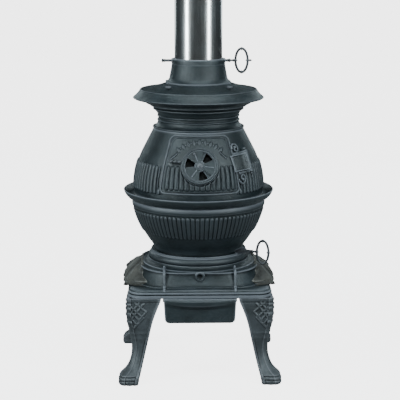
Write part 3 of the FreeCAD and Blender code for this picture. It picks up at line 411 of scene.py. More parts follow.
def nodeBox(node):
    low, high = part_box(node)
    return low / mm, high / mm


def smooth(t):
    t = min(max(t, 0.0), 1.0)
    return t * t * (3 - 2 * t)


def frameFrom(origin, out, up=Vector((0, 0, 1))):
    # local X across, Y up along the face, Z out of it
    z = Vector(out).normalized()
    x = Vector(up).cross(z).normalized()
    y = z.cross(x)
    turn = Matrix((x, y, z)).transposed().to_4x4()
    return Matrix.Translation(Vector(origin)) @ turn


def spread(low, high, count):
    return [low + (high - low) * i / count for i in range(count + 1)]


view = {"distance": 3.5, "height": 1.132, "turn": 1.3, "aim": 0.069, "pitch": 11.05, "lens": 119.8}


def addCamera():
    data = bpy.data.cameras.new("camera")
    data.lens = view["lens"]
    data.clip_end = 60
    camera = bpy.data.objects.new("camera", data)
    turn = math.radians(view["turn"])
    camera.location = (-view["distance"] * math.sin(turn), -view["distance"] * math.cos(turn), view["height"])
    camera.rotation_euler = (math.radians(90 - view["pitch"]), 0, -math.radians(view["turn"] + view["aim"]))
    scene.collection.objects.link(camera)
    scene.camera = camera


softLights = {
    "leftStrip": {"azimuth": -58, "distance": 3.0, "level": 1.5, "size": (0.42, 2.6), "power": 125},
    "rightStrip": {"azimuth": 50, "distance": 3.0, "level": 1.5, "size": (0.5, 2.6), "power": 95},
    "overhead": {"azimuth": 10, "distance": 1.1, "level": 3.4, "size": (2.4, 2.0), "power": 85},
    "frontFill": {"azimuth": 0, "distance": 3.6, "level": 2.6, "size": (1.6, 0.6), "power": 36},
    "rearLeft": {"azimuth": -150, "distance": 3.0, "level": 1.6, "size": (1.0, 2.0), "power": 16},
    "rearRight": {"azimuth": 150, "distance": 3.0, "level": 1.6, "size": (1.0, 2.0), "power": 16},
}


def addLights():
    target = Vector((0, 0, 0.5))
    for name, light in softLights.items():
        data = bpy.data.lights.new(name, "AREA")
        data.shape = "RECTANGLE"
        data.size, data.size_y = light["size"]
        data.energy = light["power"]
        data.color = stage["lampColour"]
        lamp = bpy.data.objects.new(name, data)
        lamp.location = around(light["azimuth"], light["distance"], light["level"])
        lamp.rotation_euler = (target - lamp.location).to_track_quat("-Z", "Y").to_euler()
        scene.collection.objects.link(lamp)
    world = bpy.data.worlds.new("studio")
    world.use_nodes = True
    nodes, links = world.node_tree.nodes, world.node_tree.links
    seen, fill = nodes["Background"], nodes.new("ShaderNodeBackground")
    seen.inputs["Color"].default_value = (1, 1, 1, 1)
    seen.inputs["Strength"].default_value = stage["white"]
    fill.inputs["Color"].default_value = (*stage["fillColour"], 1)
    fill.inputs["Strength"].default_value = stage["fill"]
    path, mix = nodes.new("ShaderNodeLightPath"), nodes.new("ShaderNodeMixShader")
    links.new(path.outputs["Is Camera Ray"], mix.inputs["Fac"])
    links.new(fill.outputs[0], mix.inputs[1])
    links.new(seen.outputs[0], mix.inputs[2])
    links.new(mix.outputs[0], nodes["World Output"].inputs["Surface"])
    scene.world = world


def addFloor():
    rows = [[Vector((x * 9000, y * 9000, -0.4)) for x in (-1, -0.3, 0.3, 1)] for y in (-1, -0.3, 0.3, 1)]
    shape = newShape()
    sheet(shape, rows)
    verts, faces = shape
    mesh = bpy.data.meshes.new("floor")
    mesh.from_pydata([tuple(v * mm) for v in verts], [], faces)
    floor = bpy.data.objects.new("floor", mesh)
    scene.collection.objects.link(floor)
    mesh.materials.append(plainFloor("paleFloor"))


addCamera()
addLights()
addFloor()
print("stage, camera and lights are in")


def reed(azimuth, level, low, high, count, height, halfPitch):
    # height of one raised rib in a row of them, with rounded ends at low and high
    across = 1.16 * (2 * ((azimuth * count / 360) % 1) - 1)
    over = max(low + halfPitch - level, level - high + halfPitch, 0) / halfPitch
    return height * math.sqrt(max(0.0, 1 - across * across - over * over))


dome = {"shoulder": (148.3, 588), "sweep": 219, "waist": 490, "wall": 7, "reeds": 80, "reedHeight": 3.2,
        "reedFoot": 489, "reedHead": 563, "doorMargin": 11, "steps": 736,
        "headRadius": 118.4}
domeLow, domeHigh = nodeBox("dome")
waistRadius = domeHigh.x


def domeRadius(level):
    if level <= dome["waist"]:
        return waistRadius
    if level <= dome["shoulder"][1]:
        rise = level - dome["waist"]
        return waistRadius - dome["sweep"] + math.sqrt(dome["sweep"] ** 2 - rise * rise)
    t = (level - dome["shoulder"][1]) / (domeHigh.z - dome["shoulder"][1])
    return dome["shoulder"][0] + (dome["headRadius"] - dome["shoulder"][0]) * t


door = {"foot": 500, "head": 634, "footHalf": 95.5, "headHalf": 72, "footRound": 9, "headRound": 20,
        "bow": 2.95, "frameGap": 4.6, "frameBead": 2.6, "inset": 10, "gap": 0.3, "thick": 5.2,
        "reedFoot": 505, "reedHead": 566, "reedHeight": 3.0, "columns": 250, "edge": 2.2}


def doorHalf(level):
    low, high = door["foot"] + door["footRound"], door["head"] - door["headRound"]
    if level < low:
        q = door["footRound"]
        return door["footHalf"] - q + math.sqrt(max(q * q - (low - level) ** 2, 0))
    if level > high:
        q = door["headRound"]
        return door["headHalf"] - q + math.sqrt(max(q * q - (level - high) ** 2, 0))
    t = (level - low) / (high - low)
    return door["footHalf"] + (door["headHalf"] - door["footHalf"]) * t + 4 * door["bow"] * t * (1 - t)


def doorEdge(x, level):
    # roughly how far inside the door's outline a point is; outside is negative
    half = doorHalf(min(max(level, door["foot"]), door["head"]))
    return min(half - abs(x), level - door["foot"], door["head"] - level)


def doorRun(grow):
    # points round the door's outline, moved outwards, as (x, level)
    low, high = door["foot"], door["head"]
    foot, head = low - grow, high + grow
    steps = [smooth(t) for t in spread(0, 1, 60)]
    right = [(doorHalf(low + (high - low) * t) + grow, foot + (head - foot) * t) for t in steps]
    base = [(x, foot) for x in spread(-right[0][0], right[0][0], 40)][1:-1]
    top = [(x, head) for x in spread(right[-1][0], -right[-1][0], 24)][1:-1]
    return right + top + [(-x, z) for x, z in reversed(right)] + base


def onDome(x, level, lift):
    radius = domeRadius(level) + lift
    return Vector((x, -math.sqrt(max(radius * radius - x * x, 1)), level))


def domePiece():
    steps = dome["steps"]
    ends = [dome["reedFoot"], dome["reedHead"]]
    levels = sorted({round(v, 2) for v in spread(domeLow.z, domeHigh.z, 42)
                     + [e + d for e in ends for d in (-5, -3.8, -2.6, -1.4, 0, 1.4, 2.8)]})
    opening = [onDome(x, z, 0) for x, z in doorRun(-door["inset"])]

    def outer(c, r):
        azimuth, level = 360 * c / steps, levels[r]
        radius = domeRadius(level)
        point = around(azimuth, radius, level)
        lift = 0
        if point.y > 0 or doorEdge(point.x, level) < -dome["doorMargin"]:
            lift = reed(azimuth, level, *ends, dome["reeds"], dome["reedHeight"], 5.4)
        return around(azimuth, radius + lift, level)

    def inner(c, r):
        return around(360 * c / steps, domeRadius(levels[r]) - dome["wall"], levels[r])

    def keep(c, r):
        level = (levels[r] + levels[r + 1]) / 2
        point = around(360 * (c + 0.5) / steps, domeRadius(level), level)
        return point.y > 0 or doorEdge(point.x, level) < door["inset"]

    def snap(verts, outerVert, innerVert):
        near = min(opening, key=lambda p: (p - verts[outerVert]).length)
        verts[outerVert] = near
        scale = (domeRadius(near.z) - dome["wall"]) / domeRadius(near.z)
        verts[innerVert] = Vector((near.x * scale, near.y * scale, near.z))

    shape = newShape()
    shell(shape, steps, len(levels) - 1, outer, inner, keep, closed=True, snap=snap)
    meshObject("domeCasting", shape, "black_iron", "stove", replaced=["dome"])
    frameBead = newShape()
    tube(frameBead, [onDome(x, z, 0.6) for x, z in doorRun(door["frameGap"])], door["frameBead"], closed=True)
    meshObject("doorFrameBead", frameBead, "black_iron", "stove")


ventJoint = joints["vent_spin"]
ventPlace = frameFrom(Vector(ventJoint["pos_m"]) / mm, Vector(ventJoint["axis"]))
ventInv = ventPlace.inverted()
vent = {"boss": 48, "bossFace": 8.5, "bezelHeight": 5, "bezelInner": 42, "holeInner": 14, "holeOuter": 37.5,
        "holeMiddle": 26, "holeAngle": 54, "doorSpin": 38, "spin": 53, "spinner": 41.5, "spinnerLow": 8.8,
        "spinnerHigh": 11.8, "knobAngle": 115, "knobReach": 34, "clear": 40, "steps": 240}
knobProfile = ((0.01, 11.5), (2.6, 11.5), (1.9, 13), (1.7, 14.2), (3.0, 15.6), (3.0, 17.2), (2.0, 18.6),
               (0.01, 18.9))
screwProfile = ((0.01, -3.9), (3.0, -3.9), (3.0, 13.0), (6.8, 13.2), (6.8, 14.2), (5.0, 15.8), (1.0, 16.4),
                (0.01, 16.4))
garland = {"centre": -26, "reach": 90, "count": 9, "half": 37, "long": 8.5, "wide": 4.4, "height": 2.6,
           "dot": 2.2, "strokes": (((-73.6, 24), (-58.5, 36)), ((53.6, 38), (67.3, 26))), "strokeWide": 2.4}


def barLift(x, y, start, end, width, height):
    # a raised rounded bar between two places
    a, b, p = Vector(start), Vector(end), Vector((x, y))
    t = min(max((p - a).dot(b - a) / (b - a).length_squared, 0), 1)
    gap = (p - (a + (b - a) * t)).length / width
    return height * math.sqrt(max(0, 1 - gap * gap))


def betweenOpenings(spin):
    # picks the cells of a vent plate that stay solid; rings 1 and 2 are open in three sectors
    def solid(c, r):
        angle = (360 * (c + 0.5) / vent["steps"] - spin) % 120
        return r not in (1, 2) or vent["holeAngle"] / 2 <= angle <= 120 - vent["holeAngle"] / 2
    return solid


def garlandLift(x, y):
    # a band of plain lozenges and dots over the vent, with a short bar at each end
    lift = max(barLift(x, y, a, b, garland["strokeWide"], garland["height"]) for a, b in garland["strokes"])
    fromCentre = y - garland["centre"]
    reach, angle = math.hypot(x, fromCentre), math.degrees(math.atan2(fromCentre, x)) - 90
    if abs(angle) > garland["half"] + 5 or abs(reach - garland["reach"]) > garland["long"]:
        return lift
    pitch = 2 * garland["half"] / (garland["count"] - 1)
    out = reach - garland["reach"]
    for k in range(garland["count"]):
        place = pitch * k - garland["half"]
        along = math.radians(angle - place) * reach
        q = (abs(along) / garland["wide"]) ** 1.4 + (abs(out) / garland["long"]) ** 1.4
        ringed = (abs(along) / garland["wide"]) ** 1.4 + (abs(out) / garland["long"]) ** 1.4 * 1.2
        hollow = 0.7 if ringed < 0.16 else 0
        lift = max(lift, garland["height"] * math.sqrt(max(0, 1 - q)) - hollow)
        if k < garland["count"] - 1:
            beside = math.radians(angle - place - pitch / 2) * reach
            q = (beside / garland["dot"]) ** 2 + (out / garland["dot"]) ** 2
            lift = max(lift, 0.8 * garland["height"] * math.sqrt(max(0, 1 - q)))
    return lift


def doorPiece():
    columns = door["columns"]
    ends = [door["reedFoot"], door["reedHead"]]
    levels = sorted({round(v, 2) for v in spread(door["foot"], door["head"], 96)
                     + [door["foot"] + d for d in (0.3, 0.8)] + [door["head"] - d for d in (0.2, 0.6)]
                     + [e + d for e in ends for d in (-4, -2.6, 2.6, 4)]})

    def across(c, r):
        return doorHalf(levels[r]) * (2 * c / columns - 1)

    def outer(c, r):
        x, level = across(c, r), levels[r]
        edge = doorEdge(x, level)
        ease = door["edge"] * (1 - math.sqrt(1 - (1 - min(edge, door["edge"]) / door["edge"]) ** 2))
        point = onDome(x, level, door["gap"] + door["thick"])
        local = ventInv @ point
        lift = 0
        if edge > 2.5:
            lift = garlandLift(local.x, local.y)
            inside = smooth((edge - 2.5) / 3) * smooth((math.hypot(local.x, local.y) - 49) / 2.5)
            azimuth = math.degrees(math.atan2(x, -point.y)) + 360
            lift += inside * reed(azimuth, level, *ends, dome["reeds"], door["reedHeight"], 6)
        return onDome(x, level, door["gap"] + door["thick"] + min(lift, door["reedHeight"]) - ease)

    def inner(c, r):
        return onDome(across(c, r), levels[r], door["gap"])

    def middle(c, r):
        level = (levels[r] + levels[r + 1]) / 2
        return ventInv @ onDome(doorHalf(level) * (2 * (c + 0.5) / columns - 1), level, 5)

    def keep(c, r):
        local = middle(c, r)
        return math.hypot(local.x, local.y) > vent["clear"]

    shape = newShape()
    shell(shape, columns, len(levels) - 1, outer, inner, keep)
    radii = [0.5, vent["holeInner"], vent["holeMiddle"], vent["holeOuter"], vent["bezelInner"], vent["boss"]]
    solid = betweenOpenings(vent["doorSpin"])
    polarPlate(shape, radii, vent["steps"], solid, 0.4, vent["bossFace"], ventPlace)
    ringFoot = vent["bossFace"] - 0.6
    ringHead = vent["bossFace"] + vent["bezelHeight"]
    hole, boss = vent["bezelInner"], vent["boss"]
    bezel = rounded([(hole, ringFoot), (boss, ringFoot), (boss - 0.6, ringHead - 1), (boss - 2.2, ringHead),
                     (hole + 1, ringHead), (hole, ringHead - 1.4)], 0.9)
    lathe(shape, bezel, 192, ventPlace)
    meshObject("doorCasting", shape, "black_iron", "door", replaced=["door"])


def ventPieces():
    shape = newShape()
    radii = [3.2, vent["holeInner"], vent["holeMiddle"], vent["holeOuter"], vent["spinner"]]
    low, high = vent["spinnerLow"], vent["spinnerHigh"]
    polarPlate(shape, radii, vent["steps"], betweenOpenings(vent["spin"]), low, high, ventPlace)
    for k in range(3):
        # a low stiffening rib between two openings
        angle = math.radians(vent["spin"] + 60 + 120 * k)
        way = Vector((math.cos(angle), math.sin(angle), 0))
        run = [ventPlace @ (way * r + Vector((0, 0, vent["spinnerHigh"] - 0.3))) for r in spread(13, 36, 8)]
        tube(shape, run, [1.0] + [1.5] * 7 + [1.0], 10)
    rim = vent["spinner"]
    lathe(shape, rounded([(rim - 3, 11.4), (rim, 11.4), (rim, 12.9), (rim - 3, 12.9)], 0.7), 192, ventPlace)
    lathe(shape, rounded([(3.2, 11.4), (12, 11.4), (11, 13.2), (3.2, 13.2)], 0.8), 96, ventPlace)
    meshObject("ventWheel", shape, "black_iron", "vent", replaced=["vent_spinner"], bevel=0.35)
    knob = newShape()
    angle = math.radians(vent["knobAngle"])
    at = Vector((math.cos(angle), math.sin(angle), 0)) * vent["knobReach"]
    lathe(knob, knobProfile, 32, ventPlace @ Matrix.Translation(at), closed=False)
    meshObject("ventKnob", knob, "dark_steel", "vent", replaced=["vent_knob"])
    screw = newShape()
    lathe(screw, screwProfile, 48, ventPlace, closed=False)
    # two raised cheeks leave the driver slot between them
    for side in (1, -1):
        cheek = ventPlace @ Vector((side * 2.1, side * 1.2, 16))
        bead(screw, cheek, 3.0, squash=(0.55, 1.25, 0.3), turn=ventPlace.to_3x3())
    meshObject("ventHubScrew", screw, "dark_steel", "door", replaced=["vent_screw"])


domePiece()
doorPiece()
ventPieces()
print("dome, door and vent are in")


latch = {"half": 16.5, "lift": 14, "knots": (-6.8, 3.4), "knot": 3.3, "neck": 4.6,
         "swell": [2.8, 4.4, 5.1, 5.4, 5.0, 4.3, 4.3, 5.2, 5.4, 5.0, 4.5, 4.2, 4.6, 4.2, 2.6]}
latchJoint = joints["latch_turn"]
latchOrigin = Vector(latchJoint["pos_m"]) / mm
latchOut = Vector(latchJoint["axis"])
if latchOut.y > 0:
    latchOut = -latchOut
latchPlace = frameFrom(latchOrigin, latchOut)


def latchPiece():
    shape = newShape()
    half, lift = latch["half"], latch["lift"]
    run = [latchPlace @ Vector((x, 0, lift)) for x in spread(-half, half, 14)]
    tube(shape, run, latch["swell"], 16)
    for x in latch["knots"]:
        bead(shape, latchPlace @ Vector((x, 0.4, lift + 4.4)), latch["knot"], 20)
    bead(shape, latchPlace @ Vector((0, 0, lift - 3)), latch["neck"], 20)
    meshObject("latchLever", shape, "handle_steel", "latch", replaced=["latch_handle"])


hinge = {"half": 22.5, "reach": 50, "lugReach": 34, "lugThick": 6, "knuckle": 6.5, "pin": 3.1, "gap": 0.3,
         "top": 10.6, "under": 7.9}
hingeJoint = joints["door_swing"]
pinMiddle = Vector(hingeJoint["pos_m"]) / mm
pinUp = Vector(hingeJoint["axis"]).normalized()
if pinUp.z < 0:
    pinUp = -pinUp
hingeOut = Vector((pinMiddle.x, pinMiddle.y, 0)).normalized()
hingeOut = (hingeOut - pinUp * hingeOut.dot(pinUp)).normalized()
hingeSide = pinUp.cross(hingeOut)      # towards the back of the stove
pinPlace = Matrix.Translation(pinMiddle) @ Matrix((hingeOut, hingeSide, pinUp)).transposed().to_4x4()


def hingePoint(side, up, out):
    # side runs from the pin over the door, out is away from the dome, all from the pin's middle
    return pinMiddle - hingeSide * side + pinUp * up + hingeOut * out


def overDoor(point, lift):
    # the same place moved along the hinge's outward way until it stands the lift above the door
    for _ in range(6):
        gap = math.hypot(point.x, point.y) - domeRadius(point.z) - lift
        point = point - hingeOut * gap
    return point


def towardsPin(side, up, lift, atPin, span):
    # a point the lift above the door, drawn in to the knuckle over the last of its way to the pin
    pull = smooth(1 - (side - 2) / span)
    return overDoor(hingePoint(side, up, 0), lift) * (1 - pull) + hingePoint(side, up, atPin) * pull


def strapPiece():
    half, reach = hinge["half"], hinge["reach"]
    shape = newShape()
    sides, ups = spread(2, reach, 24), spread(-half, half, 28)

    def outer(c, r):
        edge = min(half - abs(ups[r]), reach - sides[c])
        top = overDoor(hingePoint(sides[c], ups[r], 0), hinge["top"])
        border = 1.6 * smooth((abs(ups[r]) - half + 5) / 1.5) * smooth(edge / 1.2)
        ease = 1.2 * (1 - smooth(edge / 1.6))
        pull = smooth(1 - (sides[c] - 2) / 16)
        flat = hingePoint(sides[c], ups[r], 4.6)
        return (top + hingeOut * (border - ease)) * (1 - pull) + flat * pull

    def inner(c, r):
        return towardsPin(sides[c], ups[r], hinge["under"], -1, 16)

    shell(shape, 24, 28, outer, inner, lambda c, r: True)
    knuckle, pin = hinge["knuckle"], hinge["pin"]
    lathe(shape, rounded([(knuckle, -half), (knuckle, half), (pin, half), (pin, -half)], 0.8), 48, pinPlace)
    for up in (-12, 0, 12):
        bead(shape, hingePoint(9.5, up, 4.4), 1.5, 12)
    meshObject("hingeStrap", shape, "black_iron", "door", replaced=["hinge_strap"])
    screws = newShape()
    facing = Matrix((hingeSide, pinUp, hingeOut)).transposed()
    for up in (-13.5, 13.5):
        head = overDoor(hingePoint(44, up, 0), 10.4)
        bead(screws, head, 3.0, 20, (1, 1, 0.5), facing)
    meshObject("hingeStrapScrews", screws, "dark_steel", "door", replaced=["strap_screws"])


def scroll(shape, turns, flip, centreSide, centreUp, size, thick):
    # a cast volute in the plane of the dome's side, standing on the lug
    points, widths = [], []
    for t in spread(0, 1, 40):
        angle = turns * 2 * math.pi * t
        r = size * (1 - 0.72 * t)
        side = centreSide + r * math.cos(angle) * 0.8
        up = centreUp + flip * r * math.sin(angle)
        points.append(overDoor(hingePoint(side, up, 0), 3.6 + 2.5 * t))
        widths.append(thick * (1 - 0.35 * t))
    tube(shape, points, widths, 12)
    bead(shape, points[-1] + hingeOut * 0.8, thick * 1.25, 16)


def lugPieces():
    half = hinge["half"] + hinge["gap"]
    knuckle, pin, thick = hinge["knuckle"], hinge["pin"], hinge["lugThick"]
    sides = spread(2, hinge["lugReach"], 16)
    for sign, node, side, size, name in ((1, "hinge_lug_upper", 22, 14, "hingeLugUpper"),
                                         (-1, "hinge_lug_lower", 25, 15, "hingeLugLower")):
        shape = newShape()
        eye = rounded([(pin, half), (knuckle, half), (knuckle, half + thick), (pin, half + thick)], 0.7)
        lathe(shape, [(r, sign * z) for r, z in eye], 40, pinPlace)
        ups = [sign * (half + 0.2), sign * (half + thick - 0.4)]

        def outer(c, r):
            return towardsPin(sides[c], ups[r], 5.5, 4.5, 14)

        def inner(c, r):
            return towardsPin(sides[c], ups[r], -1, -7, 14)

        shell(shape, 16, 1, outer, inner, lambda c, r: True)
        scroll(shape, 1.15, sign, side, sign * (half + 5 + size * 0.8), size, 3.0)
        meshObject(name, shape, "black_iron", "stove", replaced=[node], bevel=0.5)


latchPiece()
strapPiece()
lugPieces()
print("latch and hinge are in")


plateBox, neckBox = nodeBox("top_plate"), nodeBox("neck_ring")
rimBox, potBox = nodeBox("belly_rim"), nodeBox("fire_pot")

# moulding points are (radius, level); the neck's foot is measured up from its underside
neck = {"bore": 98, "foot": ((119, 0), (120.4, 1.2), (121.2, 3), (120.6, 4.8), (118.4, 5.6)), "footSweep": 22,
        "waist": (106.8, 665), "throat": (107.4, 681), "headSweep": 26,
        "beads": ((108.6, 666), (109.4, 667.5), (108.6, 669), (106.6, 670), (106.3, 676), (108.4, 677),
                  (109.2, 678.6), (108.2, 680.2)),
        "fillet": ((117.4, 695), (119.6, 695.6), (119.8, 698.4), (118.6, 699.2)),
        "head": ((126, 704.6), (127, 705.2))}


def neckPiece():
    low, high = neckBox[0].z, neckBox[1].z
    bore, fillet, head = neck["bore"], neck["fillet"], neck["head"]
    profile = [(bore, low), *((radius, low + rise) for radius, rise in neck["foot"])]
    profile += arcRun((115.4, low + 6), neck["waist"], neck["footSweep"], 1, 8)
    profile += [neck["waist"], *neck["beads"], neck["throat"]]
    profile += arcRun(neck["throat"], fillet[0], neck["headSweep"], 1, 8) + [*fillet]
    profile += arcRun(fillet[-1], head[0], 12, 1, 5) + [*head, (head[-1][0], high), (bore, high)]
    shape = newShape()
    lathe(shape, rounded(profile, 0.6, 2), 216)
    meshObject("neckCasting", shape, "black_iron", "stove", replaced=["neck_ring"])


plate = {"seat": ((58, 764), (86, 764), (86.5, 762.6), (90, 762.6)), "crown": (92, 762.2), "crownSweep": 420,
         "step": ((149, 747.2), (150.2, 748.4), (153, 748.6), (154.6, 747.2), (154.8, 745.2), (156.2, 744.2)),
         "brim": (170.6, 728.6), "brimSweep": 60, "rimLevel": 726, "under": (168, 722.5), "underSweep": 130,
         "foot": ((139, 713.2), (138.4, 711.6), (133, 710.2), (132.4, 708.6), (127.4, 708.3), (126, 708),
                  (108, 708)),
         "inside": ((108, 712), (146, 728), (149, 738), (86, 755.5), (58, 755.5))}


def platePiece():
    edge, level, step, foot = plateBox[1].x, plate["rimLevel"], plate["step"], plate["foot"]
    profile = [*plate["seat"]] + arcRun(plate["crown"], step[0], plate["crownSweep"], -1, 10)
    profile += [*step] + arcRun(step[-1], plate["brim"], plate["brimSweep"], -1, 8)
    profile += [plate["brim"], (edge - 0.6, level + 1), (edge, level), (edge - 0.8, level - 1.4)]
    profile += [plate["under"]] + arcRun(plate["under"], foot[0], plate["underSweep"], -1, 8)
    profile += [*foot, *plate["inside"]]
    shape = newShape()
    lathe(shape, rounded(profile, 0.7, 2), 256)
    meshObject("plateCasting", shape, "black_iron", "stove", replaced=["top_plate"])


collar = {"foot": ((58, 764), (85.4, 764), (86, 764.8), (86, 766.6), (84.6, 767.6)), "sweep": 20,
          "cone": ((76.7, 777), (74.2, 790), (72.0, 802), (70.4, 811), (70.4, 814.4), (69.4, 815.6),
                   (68.6, 822)),
          "lip": ((68.2, 826.8), (67.4, 828), (62.9, 828), (62.9, 790), (58, 790)),
          "boss": ((3.8, 0), (6.6, 0), (6.2, 3.6), (5.2, 4.6), (3.8, 4.6)),
          "bossReach": 66.5, "bossLevel": 822}


def collarPiece():
    foot, cone = collar["foot"], collar["cone"]
    shape = newShape()
    lathe(shape, [*foot] + arcRun(foot[-1], cone[0], collar["sweep"], 1, 8) + [*cone, *collar["lip"]], 160)
    for side in (1, -1):
        # a small boss round the spindle on each side
        place = Matrix.Translation(Vector((side * collar["bossReach"], 0, collar["bossLevel"])))
        lathe(shape, collar["boss"], 40, place @ Matrix.Rotation(side * math.pi / 2, 4, "Y"))
    meshObject("collarCasting", shape, "black_iron", "stove", replaced=["flue_collar"])


rim = {"back": 160, "foot": (175.2, 456), "underSweep": 37, "lip": (198.2, 197),
       "edge": ((198.8, 479), (199.3, 480.6), (199.1, 481.8)), "inside": (196.2, 481.6), "insideSweep": 31,
       "seat": (181, 470.4), "seatLevel": 470}


def rimPiece():
    foot, edge, inside, seat = rim["foot"], rim["edge"], rim["inside"], rim["seat"]
    profile = [(rim["back"], foot[1]), foot] + arcRun(foot, edge[0], rim["underSweep"], -1, 14)
    profile += [*edge, *((radius, rimBox[1].z) for radius in rim["lip"]), inside]
    profile += arcRun(inside, seat, rim["insideSweep"], 1, 10) + [seat, (rim["back"], rim["seatLevel"])]
    shape = newShape()
    lathe(shape, profile, 288)
    meshObject("bellyRim", shape, "black_iron", "stove", replaced=["belly_rim"])


neckPiece()
platePiece()
collarPiece()
rimPiece()
print("turned castings are in")


pot = {"wall": 9, "reeds": 88, "reedHead": 434, "reedFoot": 372, "reedHeight": 2.6, "steps": 760,
       "leverAzimuth": 70, "leverTravel": 17, "notchHead": 327, "notchFoot": 313.9, "belly": 175.2,
       "bellySweep": 233, "calf": (142, 362), "ankle": (126.8, 340), "throat": (118.6, 322), "bore": 104,
       "foot": ((118.8, 320.6), (120, 320), (126.4, 320), (127, 319.2), (127, 317), (127, 314))}


def potProfile():
    head, belly = potBox[1].z, pot["belly"]
    run = arcRun((belly, head - 10), pot["calf"], pot["bellySweep"], 1, 46)
    run += arcRun(pot["calf"], pot["ankle"], 200, 1, 6)
    run += arcRun(pot["ankle"], pot["throat"], 55, -1, 8)
    return [(belly, head), (belly, head - 5)] + run + [pot["throat"], *pot["foot"]]


def potPiece():
    steps = pot["steps"]
    profile = potProfile()

    def lift(azimuth, level):
        raised = 2.2 * smooth((level - 437.5) / 1.5) * smooth((452.5 - level) / 1.5)
        ribs = reed(azimuth, level, pot["reedFoot"], pot["reedHead"], pot["reeds"], pot["reedHeight"], 5.6)
        return raised + ribs

    def outer(c, r):
        radius, level = profile[r]
        return around(360 * c / steps, radius + lift(360 * c / steps, level), level)

    def inner(c, r):
        radius, level = profile[r]
        wall = pot["wall"] if level > 320.5 else radius - pot["bore"]
        return around(360 * c / steps, radius - wall, level)

    def keep(c, r):
        azimuth = 360 * (c + 0.5) / steps
        level = (profile[r][1] + profile[r + 1][1]) / 2
        return not (abs(azimuth - pot["leverAzimuth"]) < pot["leverTravel"]
                    and pot["notchFoot"] < level < pot["notchHead"])

    shape = newShape()
    shell(shape, steps, len(profile) - 1, outer, inner, keep, closed=True)
    meshObject("firePot", shape, "black_iron", "stove", replaced=["fire_pot"])


potPiece()
print("fire pot is in")


baseBox = nodeBox("base_casting")
base = {"half": 187, "round": 40, "bore": 98, "seat": 106, "seatLevel": 304, "ribPlace": 92, "ribWide": 3.4,
        "bossLevel": 276.5, "boss": 11.4, "bossHole": 7, "bossFront": 162.5, "torus": 10.2,
        "coveBead": 1.5, "coveRadius": 136.2, "coveLevel": 288.6, "covePitch": 5.2}

# rounded squares as (half width, corner, level); the flange is measured up from its underside
flangeRings = ((158, 65, 0), (186, 39, 0), (187, 40, 1), (187, 40, 7), (186, 39, 8), (184.4, 38, 8.6),
               (184.4, 38, 10.2), (186.2, 39.5, 11), (186.2, 39.5, 14.6), (185, 38, 15.8), (182.4, 36, 16.4),
               (181.8, 36, 18), (180, 36, 20.2), (174, 56, 21.6), (169.4, 78, 22))
stepRings = ((168, 82, 248.6), (167.4, 83, 250.2), (165.6, 84, 250.8))
deckRings = ((154.2, 105, 282.4), (154.6, 105, 283.6), (154.4, 105, 285.4), (152.6, 105, 286.2),
             (150, 105, 286.4), (134, 112, 286.6), (130, 118, 286.6), (130, 118, 279), (145, 98, 279),
             (158, 78, 248))
boreRun = ((133, 279.5), (150.8, 286.5), (149.6, 287.4), (145, 288), (140.5, 289.8), (137, 292.4),
           (134.6, 295.4), (133.6, 297), (131.4, 297.2))


def squareRing(half, corner, level, flat=18, bend=12):
    # rounded square, points in the same order whatever its size
    points = []
    reach = half - corner
    for k in range(4):
        turn = Matrix.Rotation(math.pi / 2 * k, 3, "Z")
        points += [turn @ Vector((half, y, level)) for y in spread(-reach, reach, flat)[:-1]]
        points += [turn @ Vector((reach + corner * math.cos(t), reach + corner * math.sin(t), level))
                   for t in (math.pi / 2 * i / bend for i in range(bend))]
    return points


def shoulderHalf(level):
    # the hollow-sided face above the flange
    t = (level - 248) / (286 - 248)
    return 165 + (152 - 165) * t - 2.2 * 4 * t * (1 - t)


def shoulderCorner(level):
    return 85 + 20 * (level - 248) / 38


